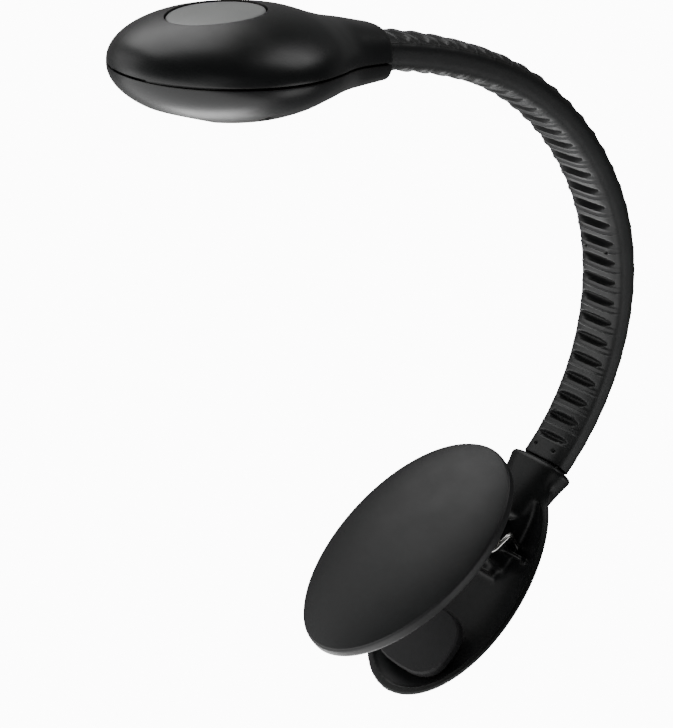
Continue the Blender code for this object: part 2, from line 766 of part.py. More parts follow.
def top_shell(look, pivot):
    shell = head_shell("head_top_shell", True, look, pivot)
    hole = oval(BUTTON_HALF[0] + GAP, BUTTON_HALF[1] + GAP, (0.0, BUTTON_Y), 24)
    for side in (-1, 1):
        spot = (side * SIDE_SCREW[0], SIDE_SCREW[1])
        boss = ((0.2, 2.1), (6.0, 2.1))
        join(shell, turned(f"side_boss_{side}", boss, spot, None, HEAD))
        bore = ((-1.0, 1.15), (4.2, 1.15))
        cut(shell, turned(f"side_bore_{side}", bore, spot, None, HEAD))
    post = ((-3.9, 2.0), (head_surface(0.0, DOOR_SCREW_Y, True) - 0.6, 2.0))
    join(shell, turned("door_post_form", post, (0.0, DOOR_SCREW_Y), None, HEAD))
    cut(shell, turned("door_bore_form", ((-5.0, 1.15), (1.2, 1.15)), (0.0, DOOR_SCREW_Y), None, HEAD))
    roof = head_surface(0.0, ANCHOR_SCREW_Y, True)
    boss = ((1.4, 2.0), (roof - 0.5, 2.0))
    join(shell, turned("anchor_boss_form", boss, (0.0, ANCHOR_SCREW_Y), None, HEAD))
    cut(shell, turned("anchor_bore_form", ((0.0, 1.15), (3.1, 1.15)), (0.0, ANCHOR_SCREW_Y), None, HEAD))
    cut(shell, column("button_hole_form", hole, 3.0, 14.0, None, HEAD))
    return shell


def bottom_shell(look, pivot):
    shell = head_shell("head_bottom_shell", False, look, pivot)
    for side in (-1, 1):
        spot = (side * SIDE_SCREW[0], SIDE_SCREW[1])
        boss = ((-5.2, 2.6), (-0.4, 2.6))
        join(shell, turned(f"side_post_{side}", boss, spot, None, HEAD))
        bore = ((-14.0, 2.1), (-2.6, 2.1), (-2.59, 1.15), (1.0, 1.15))
        cut(shell, turned(f"side_hole_{side}", bore, spot, None, HEAD))
    ledge = head_surface(0.0, ANCHOR_SCREW_Y, False) + 0.65
    bore = ((-12.0, 1.95), (ledge, 1.95), (ledge + 0.01, 1.15), (-1.0, 1.15))
    cut(shell, turned("anchor_hole_form", bore, (0.0, ANCHOR_SCREW_Y), None, HEAD))
    window = oval(LENS_HALF[0] + GAP, LENS_HALF[1] + GAP, (0.0, LENS_Y), 24)
    cut(shell, column("window_form", window, -14.0, -2.0, None, HEAD))
    door = oval(DOOR_HALF[0] + GAP, DOOR_HALF[1] + GAP, (0.0, DOOR_Y), 24)
    cut(shell, column("door_hole_form", door, -14.0, -2.0, None, HEAD))
    return shell


def battery_door(look, pivot):
    levels = ((0.3, 0.0, 0.0), (0.65, 0.0, 0.0), (0.88, 0.0, 0.0), (1.0, 0.0, 0.0))
    inner = ((1.0, 0.0, 1.4), (0.88, 0.0, 1.4), (0.65, 0.0, 1.4), (0.3, 0.0, 1.4))
    rings = skin_rings(DOOR_HALF, DOOR_Y, False, levels + inner)
    door = loft("battery_door", rings, look, HEAD, pivot)
    ledge = head_surface(0.0, DOOR_SCREW_Y, False) + 0.8
    hole = ((-12.0, 1.95), (ledge, 1.95), (ledge + 0.01, 1.15), (0.0, 1.15))
    cut(door, turned("door_screw_hole", hole, (0.0, DOOR_SCREW_Y), None, HEAD, pivot))
    return door


def lens(look, pivot):
    outer = ((0.3, 0.0, 0.25), (0.7, 0.0, 0.25), (1.0, -0.15, 0.25), (1.0, 0.0, 0.4))
    inner = ((1.0, 0.0, LENS_THICK), (0.7, 0.0, LENS_THICK), (0.3, 0.0, LENS_THICK))
    rings = skin_rings(LENS_HALF, LENS_Y, False, outer + inner)
    return loft("lens", rings, look, HEAD, pivot)


def reflector(look, pivot):
    """A bright funnel from the light chips down to the lens."""
    low, wall = LENS_THICK + 0.35, 0.7
    wide = skin_rings(LENS_HALF, LENS_Y, False, ((1.0, -0.2, low), (1.0, -0.2 - wall, low)))
    top = 1.9
    outer = [(x, y, top) for x, y in oval(6.2, 3.6, (0.0, LENS_Y), 24)]
    inner = [(x, y, top) for x, y in oval(6.2 - wall, 3.6 - wall, (0.0, LENS_Y), 24)]
    rings = [wide[0], outer, inner, wide[1]]
    return loft("reflector", rings, look, HEAD, pivot, ring_shaped=True)


def circuit_board(look, pivot):
    outline = oval(*BOARD_HALF, (0.0, BOARD_Y), 24)
    return column("circuit_board", outline, BOARD_Z, BOARD_Z + BOARD_THICK, look, HEAD, pivot)


def switch_parts(body_look, plunger_look, pivot, button_pivot):
    outline = oval(3.0, 3.0, (0.0, BUTTON_Y), 16, 6.0)
    body = column("switch_body", outline, SWITCH_Z, SWITCH_Z + 1.9, body_look, HEAD, pivot)
    well = ((SWITCH_Z + 0.4, 1.6), (SWITCH_Z + 4.0, 1.6))
    cut(body, turned("switch_well_form", well, (0.0, BUTTON_Y), None, HEAD, pivot))
    profile = ((SWITCH_Z + 1.35, 1.25), (SWITCH_Z + 2.85, 1.25))
    turned("switch_plunger", profile, (0.0, BUTTON_Y), plunger_look, HEAD, button_pivot)


def led(name, side, look, pivot):
    x = side * LED_X
    outline = [(x - 1.4, LENS_Y - 1.5), (x + 1.4, LENS_Y - 1.5), (x + 1.4, LENS_Y + 1.5), (x - 1.4, LENS_Y + 1.5)]
    return column(name, outline, BOARD_Z - 1.1, BOARD_Z - 0.1, look, HEAD, pivot)


def coin_cell(name, low, look, pivot):
    profile = (
        (low, CELL_RADIUS - 1.6),
        (low + 0.45, CELL_RADIUS - 1.2),
        (low + 0.55, CELL_RADIUS),
        (low + CELL_THICK - 0.3, CELL_RADIUS),
        (low + CELL_THICK, CELL_RADIUS - 0.3),
    )
    return turned(name, profile, (0.0, CELL_Y), look, HEAD, pivot, count=24)


def strip_contact(name, path, half_width, look, pivot):
    """A thin sprung contact: a strip of constant width along a path of (y, z) points."""
    thick = 0.25
    rings = []
    for y, z in path:
        rings.append(
            [(-half_width, y, z), (half_width, y, z), (half_width, y, z + thick), (-half_width, y, z + thick)]
        )
    return loft(name, rings, look, HEAD, pivot)


def head_parts(looks, pivot, button_pivot):
    top_shell(looks["shell"], pivot)
    bottom_shell(looks["shell"], pivot)
    battery_door(looks["door"], pivot)
    power_button(looks["button"], button_pivot)
    lens(looks["lens"], pivot)
    reflector(looks["reflector"], pivot)
    circuit_board(looks["board"], pivot)
    switch_parts(looks["switch"], looks["plunger"], pivot, button_pivot)
    led("led_left", -1, looks["led"], pivot)
    led("led_right", 1, looks["led"], pivot)
    coin_cell("coin_cell_lower", CELL_LOW, looks["cell"], pivot)
    coin_cell("coin_cell_upper", CELL_LOW + CELL_THICK + 0.2, looks["cell"], pivot)
    high = CELL_LOW + 2 * CELL_THICK + 0.35
    strip_contact("battery_contact_upper", ((2.0, high), (8.0, high), (14.0, high)), 2.0, looks["contact"], pivot)
    low = CELL_LOW - 0.65
    strip_contact("battery_contact_lower", ((4.0, low), (9.0, low + 0.1), (13.5, low)), 2.0, looks["contact"], pivot)
    steel = looks["screw"]
    screw("shell_screw_left", (-SIDE_SCREW[0], SIDE_SCREW[1]), -4.2, 3.6, 1.7, steel, HEAD, pivot)
    screw("shell_screw_right", SIDE_SCREW, -4.2, 3.6, 1.7, steel, HEAD, pivot)
    low = head_surface(0.0, DOOR_SCREW_Y, False) + 0.05
    screw("battery_door_screw", (0.0, DOOR_SCREW_Y), low, 0.4, 1.6, steel, HEAD, pivot, deep=0.7)
    anchor = (0.0, ANCHOR_SCREW_Y)
    low = head_surface(0.0, ANCHOR_SCREW_Y, False) - 0.05
    screw("arm_anchor_screw", anchor, low, 2.6, 1.6, steel, HEAD, pivot, deep=0.6)


def clip_parts(looks):
    rear_jaw_shell(looks["rear"])
    rear_grip_pad(looks["rear_pad"])
    hinge_pin(looks["pin"])
    torsion_spring(looks["spring"])
    screw("arm_lock_screw", (0.0, LOCK_SCREW_Z), 8.0, 1.4, 1.7, looks["screw"], WORLD, ORIGIN, "y")
    front_jaw_cover(looks["cover"])
    front_jaw_frame(looks["frame"])
    front_grip_pad(looks["front_pad"])
    for name, side in (("cover_screw_left", -1), ("cover_screw_right", 1)):
        spot = (side * COVER_SCREW[0], COVER_SCREW[1])
        screw(name, spot, 0.35, -3.6, 1.7, looks["screw"], FRONT, HINGE, "y")


def main():
    clear_scene()
    black = (0.018, 0.018, 0.019)
    looks = {
        "rear": material("rear_jaw_plastic", black, 0.42),
        "rear_pad": material("rear_pad_rubber", (0.03, 0.03, 0.03), 0.8),
        "pin": material("pin_steel", (0.12, 0.12, 0.12), 0.35, 1.0),
        "spring": material("spring_steel", (0.75, 0.74, 0.72), 0.25, 1.0),
        "screw": material("screw_steel", (0.45, 0.45, 0.46), 0.35, 1.0),
        "cover": material("cover_plastic", black, 0.45),
        "frame": material("frame_plastic", black, 0.5),
        "front_pad": material("front_pad_rubber", (0.03, 0.03, 0.03), 0.8),
        "rubber": material("arm_rubber", (0.022, 0.023, 0.024), 0.55),
        "strip": material("armature_steel", (0.5, 0.5, 0.5), 0.4, 1.0),
        "shell": material("head_plastic", (0.02, 0.021, 0.022), 0.35),
        "door": material("door_plastic", (0.02, 0.021, 0.022), 0.4),
        "button": material("button_plastic", (0.35, 0.36, 0.35), 0.4),
        "lens": material("lens_plastic", (0.85, 0.87, 0.88), 0.15),
        "reflector": material("reflector_plastic", (0.8, 0.8, 0.8), 0.2, 0.9),
        "board": material("board_laminate", (0.02, 0.15, 0.06), 0.5),
        "switch": material("switch_plastic", (0.03, 0.03, 0.03), 0.5),
        "plunger": material("plunger_plastic", (0.6, 0.6, 0.58), 0.4),
        "led": material("led_phosphor", (0.9, 0.75, 0.2), 0.4),
        "cell": material("cell_steel", (0.7, 0.7, 0.7), 0.25, 1.0),
        "contact": material("contact_brass", (0.75, 0.6, 0.3), 0.3, 1.0),
    }
    clip_parts(looks)
    arm_base(looks["rubber"], looks["strip"])
    arm_segments(looks["rubber"], looks["strip"])
    head_pivot = pivot_at(BEND_STATIONS[-1])
    arm_end(looks["rubber"], looks["strip"], head_pivot)
    button_pivot = HEAD @ (Vector((0.0, BUTTON_Y, 8.0)) * MM)
    head_parts(looks, head_pivot, button_pivot)


main()
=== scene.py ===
"""Looks of the clip-on reading lamp: smooth shells, the ribbed arm, the wire spring, finishes and light.

Sizes are in millimetres, in the CAD model's frame, and become metres when a mesh is made.
"""

import math

import bmesh
import bpy
import numpy as np
from mathutils import Matrix, Vector


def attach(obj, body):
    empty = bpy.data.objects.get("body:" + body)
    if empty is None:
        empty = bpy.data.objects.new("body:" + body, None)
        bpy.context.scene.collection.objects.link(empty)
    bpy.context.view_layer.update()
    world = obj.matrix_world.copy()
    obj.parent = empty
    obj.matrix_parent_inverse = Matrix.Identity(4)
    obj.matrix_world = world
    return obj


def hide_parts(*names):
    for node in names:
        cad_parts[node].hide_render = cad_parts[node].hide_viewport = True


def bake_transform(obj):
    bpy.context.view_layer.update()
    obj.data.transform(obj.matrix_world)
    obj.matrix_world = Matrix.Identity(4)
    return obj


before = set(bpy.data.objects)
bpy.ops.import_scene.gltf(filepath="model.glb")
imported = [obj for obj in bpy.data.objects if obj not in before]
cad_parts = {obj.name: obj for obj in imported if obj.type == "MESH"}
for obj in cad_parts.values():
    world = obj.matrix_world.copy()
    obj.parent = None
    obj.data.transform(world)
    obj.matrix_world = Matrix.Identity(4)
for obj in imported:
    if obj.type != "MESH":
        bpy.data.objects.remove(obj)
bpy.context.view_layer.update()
MM = 0.001

# Arm, as three arcs bent about X: length, radius
ARM_START = (2.95, 45.7)  # y, z
ARM_ARCS = ((64.0, 50.0), (48.0, 66.0), (25.0, 115.0))
ARM_WIDTH = 11.0
ARM_THICKNESS = 6.2
ARM_POWER = 3.2
ARM_SWELL = 0.085
SWELL_STRETCH = 55.0
ARM_FOOT = -0.75
ARM_LAST = 139.0
RIB_PITCH = 4.7075
FIRST_SCOOP = 5.4  # middle of the lowest scoop on the inner face
SCOOP_SHIFT = -0.37  # how far the outer face's scoops lie below the inner ones
SCOOPS = 28
LIP_HALF = 5.4  # half length of a lip across the arm
LIP_RISE = 1.75  # how far above a scoop's middle its lip is
LIP_STEP = 0.2  # how far the face has sunk where it meets the next lip
BROW_DROP = 0.35  # how far the face sinks from a lip to the far edge of the slot below it
LIP_BEAD = (0.2, 0.3)  # height and half width of the bead along a lip
LIP_HIGHLIGHT_COLOUR = (0.05, 0.052, 0.053)  # colour of the highlight painted on the crest of a lip
SLOT = (4.4, -0.6, 1.15, 1.9)  # half length, middle along the arm, half width and depth
PARTING_LINE = (2.15, 0.16, 0.1)  # y of the line on the arm's sides, its half width and its height
PIN_HOLE_STATIONS = (1.75, 10.3, 49.4)
PIN_HOLE_X = 2.7
PIN_HOLE_SIZE = (0.42, 0.8)  # radius and depth
# Each stretch of arm: end station, joint it bends at, the bodies it joins, where bending starts and ends
STRETCHES = (
    (17.05, "arm_bend_1", "rear_jaw", "arm_1", 1.5, 14.5),
    (31.17, "arm_bend_2", "arm_1", "arm_2", 18.0, 30.2),
    (50.0, "arm_bend_3", "arm_2", "arm_3", 33.0, 47.0),
    (64.12, "arm_bend_4", "arm_3", "arm_4", 51.0, 61.5),
    (78.24, "arm_bend_5", "arm_4", "arm_5", 65.5, 77.5),
    (97.07, "arm_bend_6", "arm_5", "arm_6", 80.5, 95.5),
    (111.2, "arm_bend_7", "arm_6", "arm_7", 98.0, 110.0),
    (120.61, "arm_twist", "arm_7", "arm_8", 112.0, 118.0),
    (ARM_LAST, "head_tilt", "arm_8", "head", 121.5, 128.5),
)
SEGMENT_OF_STRETCH = (
    ("arm_base",),
    ("arm_segment_1",),
    ("arm_segment_2",),
    ("arm_segment_3",),
    ("arm_segment_4",),
    ("arm_segment_5",),
    ("arm_segment_6",),
    ("arm_segment_7", "arm_segment_8"),
    ("arm_end",),
)

# Head, in its own frame: y from the tip to the neck, z up from the seam
HEAD_PITCH = math.radians(5.2)
ARM_ENTRY = 137.0
HEAD_REACH = 30.3
HEAD_LIFT = 1.3
TIP = 21.5
NECK_END = 30.9
# y, half width, height above the seam, depth below it, section power, how far the seam has dropped
HEAD_STATIONS = (
    (0.0, 19.9, 9.4, 9.35, 2.0, 0.0),
    (6.0, 19.1, 9.25, 8.9, 2.0, 0.05),
    (12.0, 16.4, 8.6, 7.5, 2.1, 0.3),
    (17.0, 13.0, 7.5, 6.2, 2.3, 0.8),
    (21.0, 10.4, 6.9, 5.35, 2.45, 1.35),
    (25.0, 8.7, 6.6, 4.7, 2.6, 1.8),
    (NECK_END, 6.9, 5.9, 3.9, 2.6, 2.4),
)
TOP_WALL = 0.8
BOTTOM_WALL = 1.5
BUTTON_Y = -2.95
BUTTON_HALF = (7.2, 9.1)
LENS_Y = -10.6
LENS_HALF = (8.4, 5.6)
DOOR_Y = 9.3
DOOR_HALF = (10.5, 12.2)
ANCHOR_SCREW_Y = 27.0
SIDE_SCREW = (14.2, -1.0)

# Clip
# Each jaw's outline: half width, half length, and how much narrower its arm end is
REAR_JAW = (17.5, 27.3, 0.06)
JAW_MEAN_RADIUS = 20.0
FRONT_JAW = (17.9, 27.1, -0.03)
REAR_RIM_Y = 1.0
REAR_MIDDLE_Z = 14.0
REAR_DEPTH = 6.8
REAR_WALL = 1.4
DOME_POWER = 2.3
DOME_ROOT = 0.72
FRONT_SIDE = 2.2  # height of the cover's side wall
FRONT_DOME = 3.0  # rise of its dome above the wall
# How widely each feature of the rear jaw is rounded, or blends into the shell
RIM_ROUND = 0.8
COLLAR_ROUND = 1.5
COLLAR_BLEND = 1.6
ROOT_BLEND = 0.5
BOSS_ROUND = 1.0
BOSS_BLEND = 2.4
REST_BLEND = 0.4
LUG_BLEND = 1.8
FRONT_CENTRE = (0.0, -16.15, 12.3)
FRONT_TILT = math.radians(-9.85)
HINGE = (0.0, -7.8, 23.6)
LUG_X = (2.6, 4.1)
LUG_NOSE = 2.7
LUG_FOOT_Y = 5.5
PIN_BORE = (1.35, 8.0)  # radius and half length
SPRING_RADIUS = 2.55
SPRING_WIRE = 0.5
SPRING_START = math.radians(-15)  # where on the coil the rear leg leaves it
SPRING_TURNS = 2.44
SPRING_X = (9.25, 6.55)  # |x| of each coil's rear leg and of its front leg
# A rear leg, from its foot beside the collar's root over its bend to the straight run down to the coil
SPRING_REAR_LEG = (
    (5.5, 4.6, 26.7),
    (5.5, 2.6, 27.1),
    (5.65, 0.9, 27.3),
    (6.2, -0.4, 27.35),
    (7.1, -1.5, 27.3),
    (8.0, -2.4, 27.2),
    (8.75, -3.2, 27.05),
    (9.15, -3.85, 26.75),
    (9.25, -4.4, 26.2),
)
SPRING_BRIDGE = (1.0, 21.2)  # (y, z) of the cross wire, in the front jaw's frame
SPRING_REST = (3.6, 10.0, 2.0, 24.2)  # inner and outer |x| of the rib in the dish, its edge's y, and z
SPRING_REST_FOOT_Y = 4.6
# Collar: height, half width, half depth, centre y
COLLAR = (
    (44.6, 8.0, 4.4, 2.6),
    (41.0, 7.1, 3.95, 2.7),
    (37.5, 6.3, 3.65, 2.85),
    (33.5, 5.6, 3.45, 3.25),
    (29.0, 4.9, 3.3, 3.9),
    (24.0, 4.2, 3.0, 4.7),
    (19.0, 3.2, 2.4, 5.6),
)
COLLAR_POWER = 2.8
SOCKET_HALF = (5.1, 2.7)  # half width and half depth of the hole for the arm's tongue
SOCKET_POWER = 5
TONGUE_FOOT_Z = 37.4
LOCK_SCREW_Z = 40.4
LOCK_BOSS = (3.4, 4.0, 8.0)  # half width, half height, and y of its flat end
LOCK_WELL = (2.1, 6.6)  # radius of the screw's well, and y of its floor

# Camera, at the picture's viewing angle
CAMERA_TURN = Vector((-1.8115, -0.1909, -1.0467))
CAMERA_SHIFT = Vector((25.1601, -44.8887, -456.9344))
CAMERA_AIM = Vector((0.0, 1.0, 14.0))
LENS_MM = 108.8

# Stage, in metres, and the strengths of its lights
FLOOR_Z = -0.32
FLOOR_REACH = 0.55
STAGE_MIDDLE = (0.0, -0.08, 0.075)
BACKDROP = 15.0
BEHIND_LIGHT = 4.0
FRONT_LIGHT = 0.55
TENT_EDGE = (-0.95, -0.3)  # cosine to the camera's side at which the tent starts and stops fading
FLOOR_GLOW = 1.5
# Soft boxes: name, direction from the object in the camera's right, up and back, distance, width, height,
# radiance
SOFT_BOXES = (
    ("top_box", (-0.36, 0.92, -0.17), 0.62, 0.55, 0.45, 2.4),
    ("left_box", (-0.95, 0.28, -0.1), 0.62, 0.4, 0.5, 1.1),
    ("right_box", (0.64, 0.75, 0.15), 0.62, 0.35, 0.35, 2.4),
    ("low_box", (0.81, -0.56, 0.1), 0.62, 0.3, 0.3, 2.0),
    ("front_box", (-0.1, -0.1, 1.0), 0.62, 0.35, 0.35, 0.45),
    ("under_box", (-0.1, -0.72, -0.62), 0.4, 0.3, 0.16, 5.0),
)


def arm_point(s):
    """(y, z, tangent angle) of the arm's centre line."""
    y, z, angle = ARM_START[0], ARM_START[1], 0.0
    if s < 0:
        return y, z + s, 0.0
    for length, radius in ARM_ARCS:
        run = min(s, length)
        turn = run / radius
        y += radius * (math.cos(angle + turn) - math.cos(angle))
        z += radius * (math.sin(angle + turn) - math.sin(angle))
        angle += turn
        s -= run
        if s <= 0:
            break
    if s > 0:
        y -= s * math.sin(angle)
        z += s * math.cos(angle)
    return y, z, angle


def arm_size(s):
    """How much larger the arm's section is at s than at its foot."""
    share = min(1.0, max(0.0, s / SWELL_STRETCH))
    return 1.0 + ARM_SWELL * share * share * (3 - 2 * share)


def rotation_x(angle, centre):
    return Matrix.Translation(Vector(centre) * MM) @ Matrix.Rotation(angle, 4, "X")


def arm_frame(s):
    y, z, angle = arm_point(s)
    return rotation_x(angle, (0.0, y, z))


def head_frame():
    y, z, angle = arm_point(ARM_ENTRY)
    angle += HEAD_PITCH
    along = Vector((0.0, -math.sin(angle), math.cos(angle)))
    up = Vector((0.0, math.cos(angle), math.sin(angle)))
    return rotation_x(angle - math.pi / 2, Vector((0.0, y, z)) + along * HEAD_REACH + up * HEAD_LIFT)


WORLD = Matrix.Identity(4)
HEAD = head_frame()
FRONT = rotation_x(FRONT_TILT, FRONT_CENTRE)


# Finishes


def shader_graph(name):
    made = bpy.data.materials.new(name)
    made.use_nodes = True
    return made, made.node_tree, made.node_tree.nodes["Principled BSDF"]


def noise(tree, scale, detail=3.0, roughness=0.55, stretch=None):
    """A noise texture in the object's own coordinates, in units of one per metre."""
    coordinates = tree.nodes.new("ShaderNodeTexCoord")
    texture = tree.nodes.new("ShaderNodeTexNoise")
    texture.inputs["Scale"].default_value = scale
    texture.inputs["Detail"].default_value = detail
    texture.inputs["Roughness"].default_value = roughness
    if stretch:
        mapping = tree.nodes.new("ShaderNodeMapping")
        mapping.inputs["Scale"].default_value = stretch
        tree.links.new(coordinates.outputs["Object"], mapping.inputs["Vector"])
        tree.links.new(mapping.outputs["Vector"], texture.inputs["Vector"])
    else:
        tree.links.new(coordinates.outputs["Object"], texture.inputs["Vector"])
    return texture.outputs["Fac"]


def spread(tree, value, low, high):
    node = tree.nodes.new("ShaderNodeMapRange")
    node.inputs["From Min"].default_value = 0.3
    node.inputs["From Max"].default_value = 0.7
    node.inputs["To Min"].default_value = low
    node.inputs["To Max"].default_value = high
    tree.links.new(value, node.inputs["Value"])
    return node.outputs["Result"]


def bump(tree, height, distance, strength, below=None):
    node = tree.nodes.new("ShaderNodeBump")
    node.inputs["Distance"].default_value = distance
    node.inputs["Strength"].default_value = strength
    tree.links.new(height, node.inputs["Height"])
    if below is not None:
        tree.links.new(below, node.inputs["Normal"])
    return node.outputs["Normal"]


def tint(tree, value, dark, light):
    ramp = tree.nodes.new("ShaderNodeMix")
    ramp.data_type = "RGBA"
    ramp.inputs["A"].default_value = (*dark, 1.0)
    ramp.inputs["B"].default_value = (*light, 1.0)
    tree.links.new(spread(tree, value, 0.0, 1.0), ramp.inputs["Factor"])
    return ramp.outputs["Result"]


def plastic(name, colour, roughness, grain=0.4, grain_scale=3500.0, shine=0.5):
    """Moulded plastic or rubber: a fine spark-eroded grain, and slow changes of tone and gloss."""
    made, tree, shader = shader_graph(name)
    slow = noise(tree, 45.0, 2.0)
    fine = noise(tree, grain_scale, 2.0)
    dark = [c * 0.86 for c in colour]
    light = [c * 1.14 for c in colour]
    tree.links.new(tint(tree, slow, dark, light), shader.inputs["Base Color"])
    rough = spread(tree, noise(tree, 160.0, 3.0), roughness - 0.035, roughness + 0.035)
    tree.links.new(rough, shader.inputs["Roughness"])
    tree.links.new(bump(tree, fine, 0.00003, grain), shader.inputs["Normal"])
    shader.inputs["Specular IOR Level"].default_value = shine
    return made


def rubber_with_painted_lip_highlight(name, colour, roughness):
    """The arm's rubber, with a highlight painted along the lips of its scoops: the base colour turns paler
    there, in patches.
    """
    made = plastic(name, colour, roughness, 0.5, 2600.0)
    tree = made.node_tree
    shader = tree.nodes["Principled BSDF"]
    painted_lip_highlight = tree.nodes.new("ShaderNodeAttribute")
    painted_lip_highlight.attribute_name = "painted_lip_highlight"
    patchy = tree.nodes.new("ShaderNodeMath")
    patchy.operation = "MULTIPLY"
    tree.links.new(painted_lip_highlight.outputs["Fac"], patchy.inputs[0])
    tree.links.new(spread(tree, noise(tree, 260.0, 2.0), 0.5, 1.0), patchy.inputs[1])
    # Painted highlight: the base colour is mixed towards a paler grey where the attribute marks a lip's
    # crest.
    pale = tree.nodes.new("ShaderNodeMix")
    pale.data_type = "RGBA"
    tree.links.new(patchy.outputs["Value"], pale.inputs["Factor"])
    tree.links.new(shader.inputs["Base Color"].links[0].from_socket, pale.inputs["A"])
    pale.inputs["B"].default_value = (*LIP_HIGHLIGHT_COLOUR, 1.0)
    tree.links.new(pale.outputs["Result"], shader.inputs["Base Color"])
    return made


def metal(name, colour, roughness, stretch=(1.0, 1.0, 1.0), depth=0.25):
    """Plain metal with drawing or rolling lines along its length."""
    made, tree, shader = shader_graph(name)
    shader.inputs["Metallic"].default_value = 1.0
    lines = noise(tree, 900.0, 3.0, stretch=stretch)
    dark = [c * 0.85 for c in colour]
    tree.links.new(tint(tree, lines, dark, colour), shader.inputs["Base Color"])
    tree.links.new(spread(tree, lines, roughness * 0.8, roughness * 1.25), shader.inputs["Roughness"])
    tree.links.new(bump(tree, lines, 0.00002, depth), shader.inputs["Normal"])
    return made


def clear_plastic(name):
    """The window: clear outside, finely frosted by its prismatic inner face."""
    made, tree, shader = shader_graph(name)
    shader.inputs["Transmission Weight"].default_value = 0.9
    shader.inputs["IOR"].default_value = 1.49
    shader.inputs["Base Color"].default_value = (0.93, 0.95, 0.95, 1.0)
    tree.links.new(spread(tree, noise(tree, 400.0, 2.0), 0.12, 0.24), shader.inputs["Roughness"])
    tree.links.new(bump(tree, noise(tree, 1500.0, 1.0), 0.00004, 0.4), shader.inputs["Normal"])
    return made


# Meshes


def add_object(name, mesh, look, smooth_angle=None):
    mesh.shade_smooth()
    if smooth_angle is not None:
        mesh.set_sharp_from_angle(angle=math.radians(smooth_angle))
    mesh.materials.clear()
    mesh.materials.append(look)
    made = bpy.data.objects.new(name, mesh)
    bpy.context.scene.collection.objects.link(made)
    return made


def mesh_from(name, points, faces, home=WORLD, weld=False):
    """A mesh from points in millimetres in a frame."""
    mesh = bpy.data.meshes.new(name)
    mesh.from_pydata([home @ (Vector(p) * MM) for p in points], [], faces)
    work = bmesh.new()
    work.from_mesh(mesh)
    if weld:
        bmesh.ops.remove_doubles(work, verts=work.verts, dist=2e-6)
        bmesh.ops.dissolve_degenerate(work, edges=work.edges, dist=1e-7)
    bmesh.ops.recalc_face_normals(work, faces=work.faces)
    work.to_mesh(mesh)
    work.free()
    return mesh


def ring_faces(rings, count, closed=False, caps=(True, True)):
    """Quads between rings of count points, with fans or a closing strip at the ends."""
    faces = []
    spans = rings if closed else rings - 1
    for i in range(spans):
        a, b = i * count, (i + 1) % rings * count
        for j in range(count):
            k = (j + 1) % count
            faces.append((a + j, a + k, b + k, b + j))
    if not closed and caps[0]:
        faces.append(tuple(reversed(range(count))))
    if not closed and caps[1]:
        last = (rings - 1) * count
        faces.append(tuple(range(last, last + count)))
    return faces


def loft(name, rings, look, home=WORLD, closed=False, weld=False, smooth_angle=None, caps=(True, True)):
    points = [p for ring in rings for p in ring]
    faces = ring_faces(len(rings), len(rings[0]), closed, caps)
    return add_object(name, mesh_from(name, points, faces, home, weld), look, smooth_angle)


def oval(half_x, half_y, centre=(0.0, 0.0), count=96, power=2.0):
    ring = []
    for i in range(count):
        turn = 2 * math.pi * i / count
        c, s = math.cos(turn), math.sin(turn)
        x = math.copysign(abs(c) ** (2 / power), c) * half_x
        y = math.copysign(abs(s) ** (2 / power), s) * half_y
        ring.append((centre[0] + x, centre[1] + y))
    return ring


def settle(made, smooth_angle=35):
    """Applies an object's modifiers and removes the objects that cut it."""
    cutters = [step.object for step in made.modifiers if step.type == "BOOLEAN"]
    graph = bpy.context.evaluated_depsgraph_get()
    mesh = bpy.data.meshes.new_from_object(made.evaluated_get(graph))
    made.modifiers.clear()
    made.data = mesh
    for cutter in cutters:
        bpy.data.objects.remove(cutter, do_unlink=True)
    mesh.shade_smooth()
    mesh.set_sharp_from_angle(angle=math.radians(smooth_angle))
    return made


def cut(made, cutter):
    step = made.modifiers.new(cutter.name, "BOOLEAN")
    step.operation = "DIFFERENCE"
    step.solver = "EXACT"
    step.object = cutter


def column(name, outline, low, high, look, home=WORLD, along="z"):
    def place(pair, height):
        a, b = pair
        return {"x": (height, a, b), "y": (a, height, b), "z": (a, b, height)}[along]

    return loft(name, [[place(p, h) for p in outline] for h in (low, high)], look, home)


def round_edges(made, width, segments=2, angle=40):
    step = made.modifiers.new("round_edges", "BEVEL")
    step.width = width * MM
    step.segments = segments
    step.limit_method = "ANGLE"
    step.angle_limit = math.radians(angle)
    step.harden_normals = False


